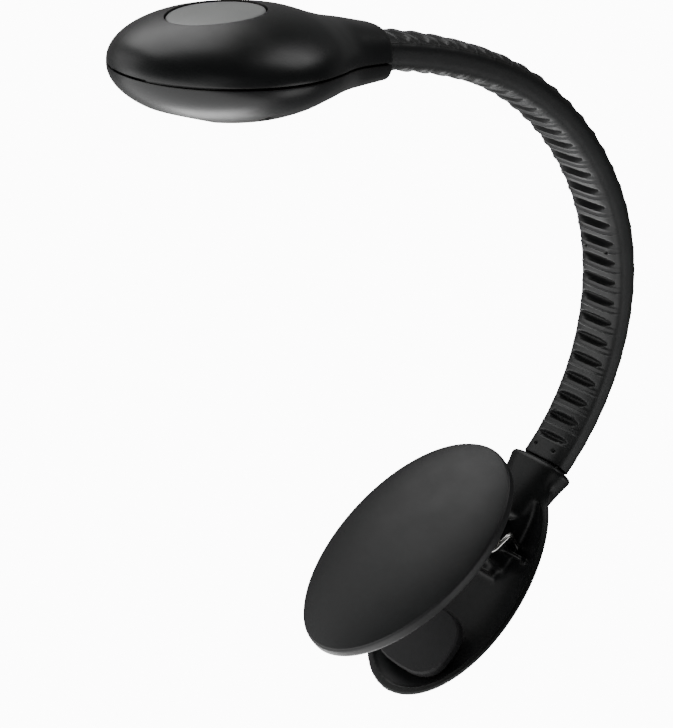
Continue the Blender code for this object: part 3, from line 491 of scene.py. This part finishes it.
def surface_net(name, field, low, high, cell, look):
    """A smooth mesh round the region where a field of x, y, z arrays is negative."""
    axes = [np.arange(low[k], high[k] + cell, cell) for k in range(3)]
    grid = np.meshgrid(*axes, indexing="ij")
    value = field(*grid)
    inside = value < 0
    size = np.array(value.shape)
    total = np.zeros((*(size - 1), 3))
    hits = np.zeros(size - 1)
    corners = [(i, j, k) for i in (0, 1) for j in (0, 1) for k in (0, 1)]
    for a in corners:
        for axis in range(3):
            if a[axis]:
                continue
            b = list(a)
            b[axis] = 1
            here = tuple(slice(a[k], size[k] - 1 + a[k]) for k in range(3))
            there = tuple(slice(b[k], size[k] - 1 + b[k]) for k in range(3))
            crossing = inside[here] != inside[there]
            rise = value[there] - value[here]
            share = np.where(crossing, -value[here] / np.where(rise == 0, 1, rise), 0)
            for k in range(3):
                offset = a[k] + (share if k == axis else 0)
                total[..., k] += np.where(crossing, offset, 0)
            hits += crossing
    used = hits > 0
    index = np.full(used.shape, -1)
    index[used] = np.arange(used.sum())
    base = np.argwhere(used)
    points = (base + total[used] / hits[used][:, None]) * cell + np.array(low)
    faces = []
    for axis in range(3):
        u, v = (axis + 1) % 3, (axis + 2) % 3
        here = [slice(1, size[k] - 1) for k in range(3)]
        here[axis] = slice(0, size[axis] - 1)
        there = list(here)
        there[axis] = slice(1, size[axis])
        change = inside[tuple(here)].astype(int) - inside[tuple(there)].astype(int)
        spots = np.argwhere(change != 0)
        sign = change[tuple(spots.T)]
        spots = spots + np.array([0 if k == axis else 1 for k in range(3)])
        quad = []
        for du, dv in ((0, 0), (1, 0), (1, 1), (0, 1)):
            step = spots.copy()
            step[:, u] -= du
            step[:, v] -= dv
            quad.append(index[tuple(step.T)])
        quad = np.stack(quad, 1)
        quad[sign < 0] = quad[sign < 0][:, ::-1]
        faces += quad.tolist()
    return add_object(name, mesh_from(name, points.tolist(), faces), look)


def smooth_min(a, b, radius):
    blend = np.clip(0.5 + 0.5 * (b - a) / radius, 0, 1)
    return b + (a - b) * blend - radius * blend * (1 - blend)


def smooth_max(a, b, radius):
    return -smooth_min(-a, -b, radius)


# Arm


def lip_share(x, s, outer):
    """1 on the crest of a lip across the arm's face, falling to 0 beside it."""
    v = (s - FIRST_SCOOP - (SCOOP_SHIFT if outer else 0.0) - LIP_RISE) / RIB_PITCH
    if not -0.5 < v < SCOOPS - 0.5:
        return 0.0
    beside = abs(v - round(v)) * RIB_PITCH / LIP_BEAD[1]
    return max(0.0, 1 - beside) * max(0.0, 1 - (abs(x) / LIP_HALF) ** 6) ** 0.3


def scoop(x, s, outer):
    """Depth of the ribbed face at x across the arm and s along it.

    From each lip the face falls away down to a deep slot. Below the slot it sinks slowly to the next lip.
    """
    first = FIRST_SCOOP + (SCOOP_SHIFT if outer else 0.0)
    number = math.floor((s - first - LIP_RISE) / RIB_PITCH) + 1
    if not 0 <= number < SCOOPS:
        return 0.0
    v = s - first - number * RIB_PITCH
    narrow = 0.75 if number == 0 and not outer else 1.0
    side = max(0.0, 1 - (abs(x) / LIP_HALF) ** 6)
    below = SLOT[1] - SLOT[2]
    if v < below:
        sunk = LIP_STEP * min(1.0, (below - v) / (RIB_PITCH - LIP_RISE + below)) if number else 0.0
    else:
        sunk = BROW_DROP * (1 - (v - below) / (LIP_RISE - below)) ** 1.5
    taper = max(0.0, 1 - (abs(x) / SLOT[0]) ** 2.6)
    reach = SLOT[2] * narrow * taper**0.5
    slot = 0.0
    if reach > 0 and abs(v - SLOT[1]) < reach:
        w = (v - SLOT[1]) / reach
        slot = SLOT[3] * narrow * taper**0.6 * (math.cos(math.pi / 2 * w) ** 2 if w > 0 else 1 - w**4)
    return max(sunk * side**0.7, slot)


def pin_hole(x, s):
    """Depth of the small round marks that the moulding pins leave on the inner face."""
    radius, depth = PIN_HOLE_SIZE
    deepest = 0.0
    for station in PIN_HOLE_STATIONS:
        away = math.hypot(abs(x) - PIN_HOLE_X, s - station) / radius
        deepest = max(deepest, depth * max(0.0, 1 - away**3))
    return deepest


def arm_outline(columns):
    """(x, y) round the arm, closer together at the parting line."""
    dense = oval(ARM_WIDTH / 2, ARM_THICKNESS / 2, (0.0, 0.0), 1440, ARM_POWER)
    steps = [0.0]
    for a, b in zip(dense, dense[1:] + dense[:1]):
        crowd = 3.0 if abs(b[1] - PARTING_LINE[0]) < 2 * PARTING_LINE[1] else 1.0
        steps.append(steps[-1] + math.hypot(b[0] - a[0], b[1] - a[1]) * crowd)
    outline = []
    at = 0
    for i in range(columns):
        wanted = steps[-1] * i / columns
        while steps[at + 1] < wanted:
            at += 1
        outline.append(dense[at])
    return outline


def arm_ring(s, outline, shrink=1.0):
    """Points round the arm at s, and how much painted highlight each gets: 1 on the crest of a lip."""
    frame_here = arm_frame(s)
    size = arm_size(s) * shrink
    line_y, line_half, line_height = PARTING_LINE
    ring, painted_lip_highlight = [], []
    for x, y in outline:
        face = min(1.0, max(0.0, (abs(y) - 1.3) / 1.3))
        lip = lip_share(x, s, y > 0) * face
        depth = scoop(x, s, y > 0) * face
        if y < -2.4:
            depth = max(depth, pin_hole(x, s))
        depth -= LIP_BEAD[0] * math.sin(math.pi / 2 * lip)
        ridge = line_height * max(0.0, 1 - abs(y - line_y) / line_half)
        spot = (x * size + math.copysign(ridge, x), math.copysign(abs(y) * size - depth, y), 0.0)
        ring.append(frame_here @ (Vector(spot) * MM) / MM)
        painted_lip_highlight.append(lip)
    return ring, painted_lip_highlight


def arm_stretch(name, start, end, look, columns, step):
    """A closed length of ribbed arm between two stations; its ends lie on ribs."""
    foot = start == ARM_FOOT
    low = start + 0.35 if foot else start
    count = max(2, round((end - low) / step))
    stations = [low + (end - low) * i / count for i in range(count + 1)]
    for number in range(SCOOPS):
        for shift in (0.0, SCOOP_SHIFT):
            lip = FIRST_SCOOP + shift + number * RIB_PITCH + LIP_RISE
            if low < lip - 0.4 and lip + 0.4 < end:
                stations += [lip + LIP_BEAD[1] * share for share in (-1.0, -0.5, 0.0, 0.5, 1.0)]
    stations.sort()
    kept = [low]
    for s in stations:
        if s - kept[-1] > 0.03:
            kept.append(s)
    sizes = [1.0] * len(kept)
    if foot:
        kept = [start, start + 0.03, start + 0.2] + kept
        sizes = [0.86, 0.95, 0.99] + sizes
    outline = arm_outline(columns)
    rings, painted_lip_highlight = zip(*(arm_ring(s, outline, size) for s, size in zip(kept, sizes)))
    made = loft(name, rings, look, smooth_angle=62)
    # Stores the share of painted highlight at each point, 1 on a lip's crest, for the rubber's finish.
    marks = made.data.attributes.new("painted_lip_highlight", "FLOAT", "POINT")
    marks.data.foreach_set("value", [share for row in painted_lip_highlight for share in row])
    return made


def arm(look):
    columns, step = ((112, 0.235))
    start = ARM_FOOT
    for number, stretch in enumerate(STRETCHES):
        end, _, first, second, bend_from, bend_to = stretch
        made = arm_stretch(f"arm_skin_{number + 1}", start, end, look, columns, step)
        for s in (bend_from, bend_to):
            y, z, _ = arm_point(s)
        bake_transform(made)
        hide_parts(*SEGMENT_OF_STRETCH[number])
        start = end


# Head


def head_size(y):
    """(half width, height, depth, power, seam drop) of the head at y."""
    if y <= 0:
        share = math.sqrt(max(0.0, 1 - (y / TIP) ** 2))
        _, wide, high, deep, power, _ = HEAD_STATIONS[0]
        return wide * share, high * share, deep * share, power, 0.0
    knots = HEAD_STATIONS
    i = max(k for k in range(len(knots) - 1) if knots[k][0] <= y or k == 0)
    before = knots[i - 1] if i else (-knots[1][0], *knots[1][1:])
    after = knots[i + 2] if i + 2 < len(knots) else knots[i + 1]
    a, b = knots[i], knots[i + 1]
    t = (y - a[0]) / (b[0] - a[0])
    sizes = []
    for k in range(1, 6):
        rise_a = (b[k] - before[k]) / (b[0] - before[0]) * (b[0] - a[0])
        rise_b = (after[k] - a[k]) / max(after[0] - a[0], 1e-6) * (b[0] - a[0])
        sizes.append(
            (2 * t**3 - 3 * t**2 + 1) * a[k]
            + (t**3 - 2 * t**2 + t) * rise_a
            + (3 * t**2 - 2 * t**3) * b[k]
            + (t**3 - t**2) * rise_b
        )
    return tuple(sizes)


def head_surface(x, y, up):
    wide, high, deep, power, drop = head_size(y)
    share = max(0.0, 1 - min(1.0, abs(x) / max(wide, 1e-6)) ** power) ** (1 / power)
    return (high if up else -deep) * share - drop


def head_arc(y, up, inset, count):
    wide, high, deep, power, drop = head_size(y)
    wide, tall = max(wide - inset, 0.0), max((high if up else deep) - inset, 0.0)
    arc = []
    for j in range(2 * count + 1):
        turn = math.pi * j / (2 * count)
        c, s = math.cos(turn), math.sin(turn)
        x = math.copysign(abs(c) ** (2 / power), c) * wide
        arc.append((x, y, (1 if up else -1) * abs(s) ** (2 / power) * tall - drop))
    return arc


def head_shell(name, up, wall, seam, look):
    """Half of the casing as a closed shell, open at the neck and along the seam."""
    count = 34
    rows = 46
    stations = [NECK_END * (1 - i / rows) for i in range(rows)]
    stations += [-TIP * math.sin(math.pi / 2 * i / rows) for i in range(rows + 1)]
    rings = []
    for y in stations:
        outer = head_arc(y, up, 0.0, count)
        inner = head_arc(y, up, wall, count)
        if y <= 0:
            share = math.sqrt(max(0.0, 1 - (y / TIP) ** 2))
            base = head_arc(0.0, up, wall, count)
            inner = [(px * share, y * (TIP - wall) / TIP, pz * share) for px, _, pz in base]
        rings.append([(px, py, pz + seam) for px, py, pz in outer + inner[::-1]])
    return loft(name, rings, look, HEAD, weld=True)


def skin_rings(half, centre_y, up, levels, count=96):
    """Rings of an oval piece that follow the head's skin: levels are (share, grow, sink)."""
    rings = []
    for share, grow, sink in levels:
        ring = []
        for x, y in oval(half[0] * share + grow, half[1] * share + grow, (0.0, centre_y), count):
            height = head_surface(x, y, up)
            ring.append((x, y, height - sink if up else height + sink))
        rings.append(ring)
    return rings


def head(looks):
    top = head_shell("head_top_skin", True, TOP_WALL, 0.1, looks["shell"])
    hole = oval(BUTTON_HALF[0] + 0.32, BUTTON_HALF[1] + 0.32, (0.0, BUTTON_Y), 128)
    cut(top, column("button_cutter", hole, 3.0, 14.0, looks["shell"], HEAD))
    round_edges(top, 0.25)
    settle(top)
    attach(top, "head")
    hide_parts("head_top_shell")

    bottom = head_shell("head_bottom_skin", False, BOTTOM_WALL, -0.36, looks["shell"])
    window = oval(LENS_HALF[0] + 0.2, LENS_HALF[1] + 0.2, (0.0, LENS_Y), 128)
    cut(bottom, column("window_cutter", window, -14.0, -2.0, looks["shell"], HEAD))
    door = oval(DOOR_HALF[0] + 0.2, DOOR_HALF[1] + 0.2, (0.0, DOOR_Y), 128)
    cut(bottom, column("door_cutter", door, -14.0, -2.0, looks["shell"], HEAD))
    for spot, radius in (
        (SIDE_SCREW, 2.1),
        ((-SIDE_SCREW[0], SIDE_SCREW[1]), 2.1),
        ((0.0, ANCHOR_SCREW_Y), 1.95),
    ):
        well = oval(radius, radius, spot, 48)
        cut(bottom, column("screw_cutter", well, -14.0, -2.0, looks["shell"], HEAD))
    round_edges(bottom, 0.2)
    settle(bottom)
    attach(bottom, "head")
    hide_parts("head_bottom_shell")

    seam_tongue(looks["shell"])
    button(looks["button"])


def seam_tongue(look):
    """The tongue on the lower shell that laps inside the upper one behind the seam."""
    outline = []
    for i in range(60):
        y = NECK_END - 1.0 - (NECK_END + TIP - 2.2) * i / 59
        outline.append((head_size(y)[0], y))
    outline += [(-x, y) for x, y in reversed(outline)]
    rings = []
    for inset, z in ((1.0, -1.4), (1.0, 0.9), (1.6, 0.9), (1.6, -1.4)):
        ring = []
        for x, y in outline:
            ring.append((math.copysign(max(abs(x) - inset, 0.05), x), y, z - head_size(y)[4]))
        rings.append(ring)
    made = loft("seam_lip", rings, look, HEAD, closed=True, smooth_angle=40)
    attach(made, "head")


def button(look):
    """The grey oval button, very slightly dished, standing just below the casing's skin."""
    under = 2.0
    levels = [(0.02, 0.0, 0.42)]
    for i in range(1, 15):
        share = 0.975 * i / 14
        levels.append((share, 0.0, 0.42 - 0.27 * share**2))
    levels += [(0.988, 0.0, 0.2), (0.997, 0.0, 0.29), (1.0, 0.0, 0.45), (1.0, 0.0, under)]
    levels += [(1.0, 1.0, under), (1.0, 1.0, under + 0.6), (1.0, -1.2, under + 0.6)]
    levels += [(0.8, -1.2, under + 0.05), (0.2, 0.0, under + 0.05)]
    made = loft("button_cap", skin_rings(BUTTON_HALF, BUTTON_Y, True, levels), look, HEAD, smooth_angle=50)
    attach(made, "button")
    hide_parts("power_button")


# Clip


def jaw_share(x, z, jaw, middle_z):
    """1 on a jaw's egg-shaped edge, 0 in its middle."""
    half_width, half_length, egg = jaw
    up = (z - middle_z) / half_length
    across = x / (half_width * (1 - egg * up))
    return np.sqrt(across**2 + up**2)


def rear_dome(x, y, z):
    """Signed distance, near enough, to the outside of the rear jaw's dome."""
    share = jaw_share(x, z, REAR_JAW, REAR_MIDDLE_Z)
    rise = (y - REAR_RIM_Y) / REAR_DEPTH
    out = share**DOME_POWER + np.clip(rise, 0, None) ** (1 / DOME_ROOT) - 1
    across_slope = DOME_POWER * share**1.3 / JAW_MEAN_RADIUS
    rise_slope = 1.39 * np.clip(rise, 0.02, None) ** 0.39 / REAR_DEPTH
    return out / np.sqrt(across_slope**2 + rise_slope**2)


def collar_field(x, y, z, dome):
    """Signed distance, near enough, to the collar, whose root sinks into the dome."""
    heights = [row[0] for row in COLLAR]
    level = np.clip(z, COLLAR[-1][0] - 1, COLLAR[0][0] + 1)
    curves = [np.polyfit(heights, [row[k] for row in COLLAR], 3) for k in (1, 2, 3)]
    wide, deep, middle = (np.polyval(curve, level) for curve in curves)
    power = COLLAR_POWER
    section = (np.abs(x / wide) ** power + np.abs((y - middle) / deep) ** power) ** (1 / power)
    neck = smooth_max((section - 1) * deep, z - COLLAR[0][0], COLLAR_ROUND)
    neck = np.maximum(neck, COLLAR[-1][0] - z)
    return smooth_max(neck, np.where(z < 30, dome - 0.4 * (z - 22), -9.0), ROOT_BLEND)


def boss_field(x, y, z):
    """Signed distance, near enough, to the oval boss round the lock screw."""
    half_width, half_height, end = LOCK_BOSS
    boss = (np.hypot(x / half_width, (z - LOCK_SCREW_Z) / half_height) - 1) * half_height
    return np.maximum(smooth_max(boss, y - end, BOSS_ROUND), 3.0 - y)


def slab(x, low, high):
    """Distance outside the two slabs that lie between low and high on either side of x = 0."""
    return np.abs(np.abs(x) - (low + high) / 2) - (high - low) / 2


def spring_rest_field(x, y, z):
    """Signed distance, near enough, to the ribs in the dish."""
    inner, outer, edge, low = SPRING_REST
    height = np.abs(z - low - 0.45) - 0.45
    return np.maximum(np.maximum(slab(x, inner, outer), height), np.maximum(edge - y, y - SPRING_REST_FOOT_Y))


def lug_field(x, y, z):
    """Signed distance, near enough, to the hinge ears: round noses on feet that widen towards the dish."""
    back, up = y - HINGE[1], z - HINGE[2]
    nose = np.hypot(back, up) - LUG_NOSE
    foot = np.abs(up - 0.3 * back) - LUG_NOSE - 0.25 * np.clip(back, 0, None)
    foot = np.maximum(foot, np.maximum(-back, y - LUG_FOOT_Y))
    return np.maximum(np.minimum(nose, foot), slab(x, *LUG_X))


def rear_field(x, y, z):
    """Signed distance, near enough, to the rear jaw with its collar and ears."""
    dome = rear_dome(x, y, z)
    shell = np.maximum(smooth_max(dome, REAR_RIM_Y - y, RIM_ROUND), -(dome + REAR_WALL))
    shell = smooth_min(shell, collar_field(x, y, z, dome), COLLAR_BLEND)
    shell = smooth_min(shell, boss_field(x, y, z), BOSS_BLEND)
    shell = smooth_min(shell, spring_rest_field(x, y, z), REST_BLEND)
    shell = smooth_min(shell, lug_field(x, y, z), LUG_BLEND)

    half_width, half_depth = SOCKET_HALF
    section = np.abs(x / half_width) ** SOCKET_POWER + np.abs((y - ARM_START[0]) / half_depth) ** SOCKET_POWER
    socket = (section ** (1 / SOCKET_POWER) - 1) * half_depth
    shell = np.maximum(shell, -np.maximum(socket, TONGUE_FOOT_Z - z))
    bore = np.hypot(y - HINGE[1], z - HINGE[2]) - PIN_BORE[0]
    shell = np.maximum(shell, -np.maximum(bore, np.abs(x) - PIN_BORE[1]))
    well = np.maximum(np.hypot(x, z - LOCK_SCREW_Z) - LOCK_WELL[0], LOCK_WELL[1] - y)
    return np.maximum(shell, -well)


def rear_jaw(looks):
    cell = 0.34
    low, high = (-18.6, -10.2, -14.6), (18.6, 9.2, 46.0)
    made = surface_net("rear_jaw_skin", rear_field, low, high, cell, looks["jaw"])
    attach(made, "rear_jaw")
    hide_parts("rear_jaw_shell")


def jaw_ring(jaw, height, share, inset=0.0, count=128):
    half_width, half_length, egg = jaw
    ring = []
    for i in range(count):
        turn = 2 * math.pi * i / count
        x = (half_width * share - inset) * math.cos(turn) * (1 - egg * math.sin(turn))
        ring.append((x, height, (half_length * share - inset) * math.sin(turn)))
    return ring


def front_jaw(looks):
    """The domed cover: a matte dome, a shallow crease round it, and a rounded side wall."""
    shares = [0.02] + [math.sin(math.pi / 2 * i / 30) * 0.985 for i in range(2, 31)]
    rings = [jaw_ring(FRONT_JAW, -(FRONT_SIDE + FRONT_DOME * (1 - s**2.2) ** 0.8), s) for s in shares]
    wall = ((0.989, FRONT_SIDE), (0.9915, 2.1), (0.995, 2.06), (0.9985, 1.92), (1.0, 1.6), (1.0, 0.6))
    rings += [jaw_ring(FRONT_JAW, -h, s) for s, h in wall]
    rings += [jaw_ring(FRONT_JAW, -h, s) for s, h in ((0.999, 0.2), (0.994, 0.0))]
    rings += [jaw_ring(FRONT_JAW, 0.0, 0.985, 1.2), jaw_ring(FRONT_JAW, -1.9, 0.985, 1.3)]
    rings += [jaw_ring(FRONT_JAW, -(0.9 + 2.6 * (1 - s**2) ** 0.8), s * 0.9) for s in (0.9, 0.7, 0.4, 0.05)]
    made = loft("front_jaw_skin", rings, looks["cover"], FRONT, smooth_angle=60)
    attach(made, "front_jaw")
    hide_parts("front_jaw_cover")


def spring_path():
    """Centre line of the spring: rear leg, coil, front leg and half the cross wire, then their mirror."""
    corner = FRONT @ (Vector((SPRING_X[1], *SPRING_BRIDGE)) * MM) / MM
    half = list(SPRING_REAR_LEG)
    steps = int(SPRING_TURNS * 40)
    for i in range(steps + 1):
        share = i / steps
        angle = SPRING_START - 2 * math.pi * SPRING_TURNS * share
        x = SPRING_X[0] + (SPRING_X[1] - SPRING_X[0]) * share
        y = HINGE[1] + SPRING_RADIUS * math.cos(angle)
        half.append((x, y, HINGE[2] + SPRING_RADIUS * math.sin(angle)))
    half.append((SPRING_X[1], corner.y, corner.z - 0.8))
    half.append((SPRING_X[1] - 0.8, corner.y, corner.z))
    return half + [(-x, y, z) for x, y, z in reversed(half)]


def spring(look):
    """The spring's wire: a round tube that twists between the two jaws about the hinge."""
    path = [Vector(spot) for spot in spring_path()]
    side = Vector((1.0, 0.0, 0.0))
    rings = []
    for i, spot in enumerate(path):
        along = (path[min(i + 1, len(path) - 1)] - path[max(i - 1, 0)]).normalized()
        side = (side - along * side.dot(along)).normalized()
        other = along.cross(side)
        turns = [2 * math.pi * j / 14 for j in range(14)]
        rings.append([spot + (side * math.cos(t) + other * math.sin(t)) * SPRING_WIRE for t in turns])
    made = loft("spring_wire", rings, look, smooth_angle=60)
    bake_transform(made)
    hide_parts("torsion_spring")


def refinish(looks):
    """Better finishes on the CAD pieces that stay."""
    wanted = {
        "hinge_pin": "pin",
        "front_jaw_frame": "jaw",
        "rear_grip_pad": "pad",
        "front_grip_pad": "pad",
        "lens": "lens",
        "reflector": "reflector",
        "battery_door": "shell",
        "circuit_board": "board",
        "switch_body": "jaw",
        "switch_plunger": "plunger",
        "led_left": "led",
        "led_right": "led",
        "coin_cell_lower": "cell",
        "coin_cell_upper": "cell",
        "battery_contact_lower": "brass",
        "battery_contact_upper": "brass",
    }
    for name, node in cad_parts.items():
        look = wanted.get(name)
        if "screw" in name:
            look = "screw"
        if name.startswith("armature"):
            look = "strip"
        if look:
            for slot in node.material_slots:
                slot.material = looks[look]


# Stage


def area_light(name, place, aim, size, power):
    light = bpy.data.lights.new(name, "AREA")
    light.shape = "RECTANGLE"
    light.size, light.size_y = size
    light.energy = power
    made = bpy.data.objects.new(name, light)
    made.location = place
    made.rotation_euler = (Vector(aim) - Vector(place)).to_track_quat("-Z", "Y").to_euler()
    made.visible_camera = False
    bpy.context.scene.collection.objects.link(made)


def studio_world(view):
    """White behind the object, and softer light on it, as in a light tent open on the camera's side."""
    world = bpy.data.worlds.new("studio")
    world.use_nodes = True
    tree = world.node_tree
    light = tree.nodes["Background"]
    direction = tree.nodes.new("ShaderNodeTexCoord")
    towards = tree.nodes.new("ShaderNodeVectorMath")
    towards.operation = "DOT_PRODUCT"
    towards.inputs[1].default_value = view.matrix_world.to_3x3().col[2]
    tree.links.new(direction.outputs["Generated"], towards.inputs[0])
    ramp = tree.nodes.new("ShaderNodeMapRange")
    ramp.interpolation_type = "SMOOTHSTEP"
    ramp.inputs["From Min"].default_value = TENT_EDGE[0]
    ramp.inputs["From Max"].default_value = TENT_EDGE[1]
    ramp.inputs["To Min"].default_value = BEHIND_LIGHT
    ramp.inputs["To Max"].default_value = FRONT_LIGHT
    tree.links.new(towards.outputs["Value"], ramp.inputs["Value"])
    tree.links.new(ramp.outputs["Result"], light.inputs["Strength"])
    backdrop = tree.nodes.new("ShaderNodeBackground")
    backdrop.inputs["Strength"].default_value = BACKDROP
    path = tree.nodes.new("ShaderNodeLightPath")
    mix = tree.nodes.new("ShaderNodeMixShader")
    tree.links.new(path.outputs["Is Camera Ray"], mix.inputs["Fac"])
    tree.links.new(light.outputs["Background"], mix.inputs[1])
    tree.links.new(backdrop.outputs["Background"], mix.inputs[2])
    tree.links.new(mix.outputs["Shader"], tree.nodes["World Output"].inputs["Surface"])
    return world


def stage():
    mesh = bpy.data.meshes.new("floor")
    turns = ((-1, -1), (1, -1), (1, 1), (-1, 1))
    corners = [(x * FLOOR_REACH, y * FLOOR_REACH, FLOOR_Z) for x, y in turns]
    mesh.from_pydata(corners, [], [(0, 1, 2, 3)])
    made, tree, shader = shader_graph("pale_floor")
    shader.inputs["Base Color"].default_value = (0.86, 0.86, 0.86, 1.0)
    shader.inputs["Roughness"].default_value = 0.8
    shader.inputs["Emission Color"].default_value = (1.0, 1.0, 1.0, 1.0)
    shader.inputs["Emission Strength"].default_value = FLOOR_GLOW
    mesh.materials.append(made)
    floor = bpy.data.objects.new("floor", mesh)
    bpy.context.scene.collection.objects.link(floor)


def camera():
    turn = Matrix.Rotation(CAMERA_TURN.length, 3, CAMERA_TURN.normalized())
    place = CAMERA_AIM - turn.transposed() @ CAMERA_SHIFT
    data = bpy.data.cameras.new("view")
    data.lens = LENS_MM
    data.sensor_width = 36.0
    data.clip_start = 0.01
    made = bpy.data.objects.new("view", data)
    made.matrix_world = Matrix.Translation(place * MM) @ turn.transposed().to_4x4()
    bpy.context.scene.collection.objects.link(made)
    bpy.context.scene.camera = made
    return made


def lights(view):
    """Soft boxes round the object, placed by the view's own axes."""
    axes = view.matrix_world.to_3x3()
    middle = Vector(STAGE_MIDDLE)
    for name, way, away, wide, high, radiance in SOFT_BOXES:
        place = middle + axes @ Vector(way).normalized() * away
        area_light(name, place, middle, (wide, high), radiance * math.pi * wide * high)


def main():
    charcoal = (0.0095, 0.0102, 0.0105)
    looks = {
        "shell": plastic("head_finish", charcoal, 0.36, 0.25),
        "cover": plastic("cover_finish", charcoal, 0.47, 0.5),
        "jaw": plastic("jaw_finish", (0.006, 0.0064, 0.0066), 0.4, 0.4, shine=0.34),
        "pad": plastic("pad_finish", (0.016, 0.016, 0.017), 0.75, 0.8, 1600.0),
        # The arm's rubber has a highlight painted on the crests of its lips.
        "rubber": rubber_with_painted_lip_highlight("rubber_finish", (0.009, 0.0096, 0.0098), 0.5),
        "button": plastic("button_finish", (0.36, 0.37, 0.365), 0.4, 0.3),
        "plunger": plastic("plunger_finish", (0.6, 0.6, 0.58), 0.4),
        "led": plastic("phosphor_finish", (0.85, 0.62, 0.12), 0.35, 0.6, 1500.0),
        "board": plastic("laminate_finish", (0.02, 0.14, 0.06), 0.35, 0.3),
        "reflector": metal("mirror_finish", (0.8, 0.8, 0.81), 0.18),
        "spring": metal("wire_finish", (0.82, 0.81, 0.79), 0.2),
        "pin": metal("pin_finish", (0.16, 0.16, 0.16), 0.35, (0.05, 1.0, 1.0)),
        "screw": metal("screw_finish", (0.5, 0.5, 0.51), 0.35),
        "strip": metal("strip_finish", (0.55, 0.55, 0.55), 0.4),
        "cell": metal("cell_finish", (0.72, 0.72, 0.72), 0.25),
        "brass": metal("brass_finish", (0.75, 0.58, 0.28), 0.3),
        "lens": clear_plastic("window_finish"),
    }
    refinish(looks)
    rear_jaw(looks)
    front_jaw(looks)
    spring(looks["spring"])
    arm(looks["rubber"])
    head(looks)
    view = camera()
    stage()
    bpy.context.scene.world = studio_world(view)
    lights(view)


main()
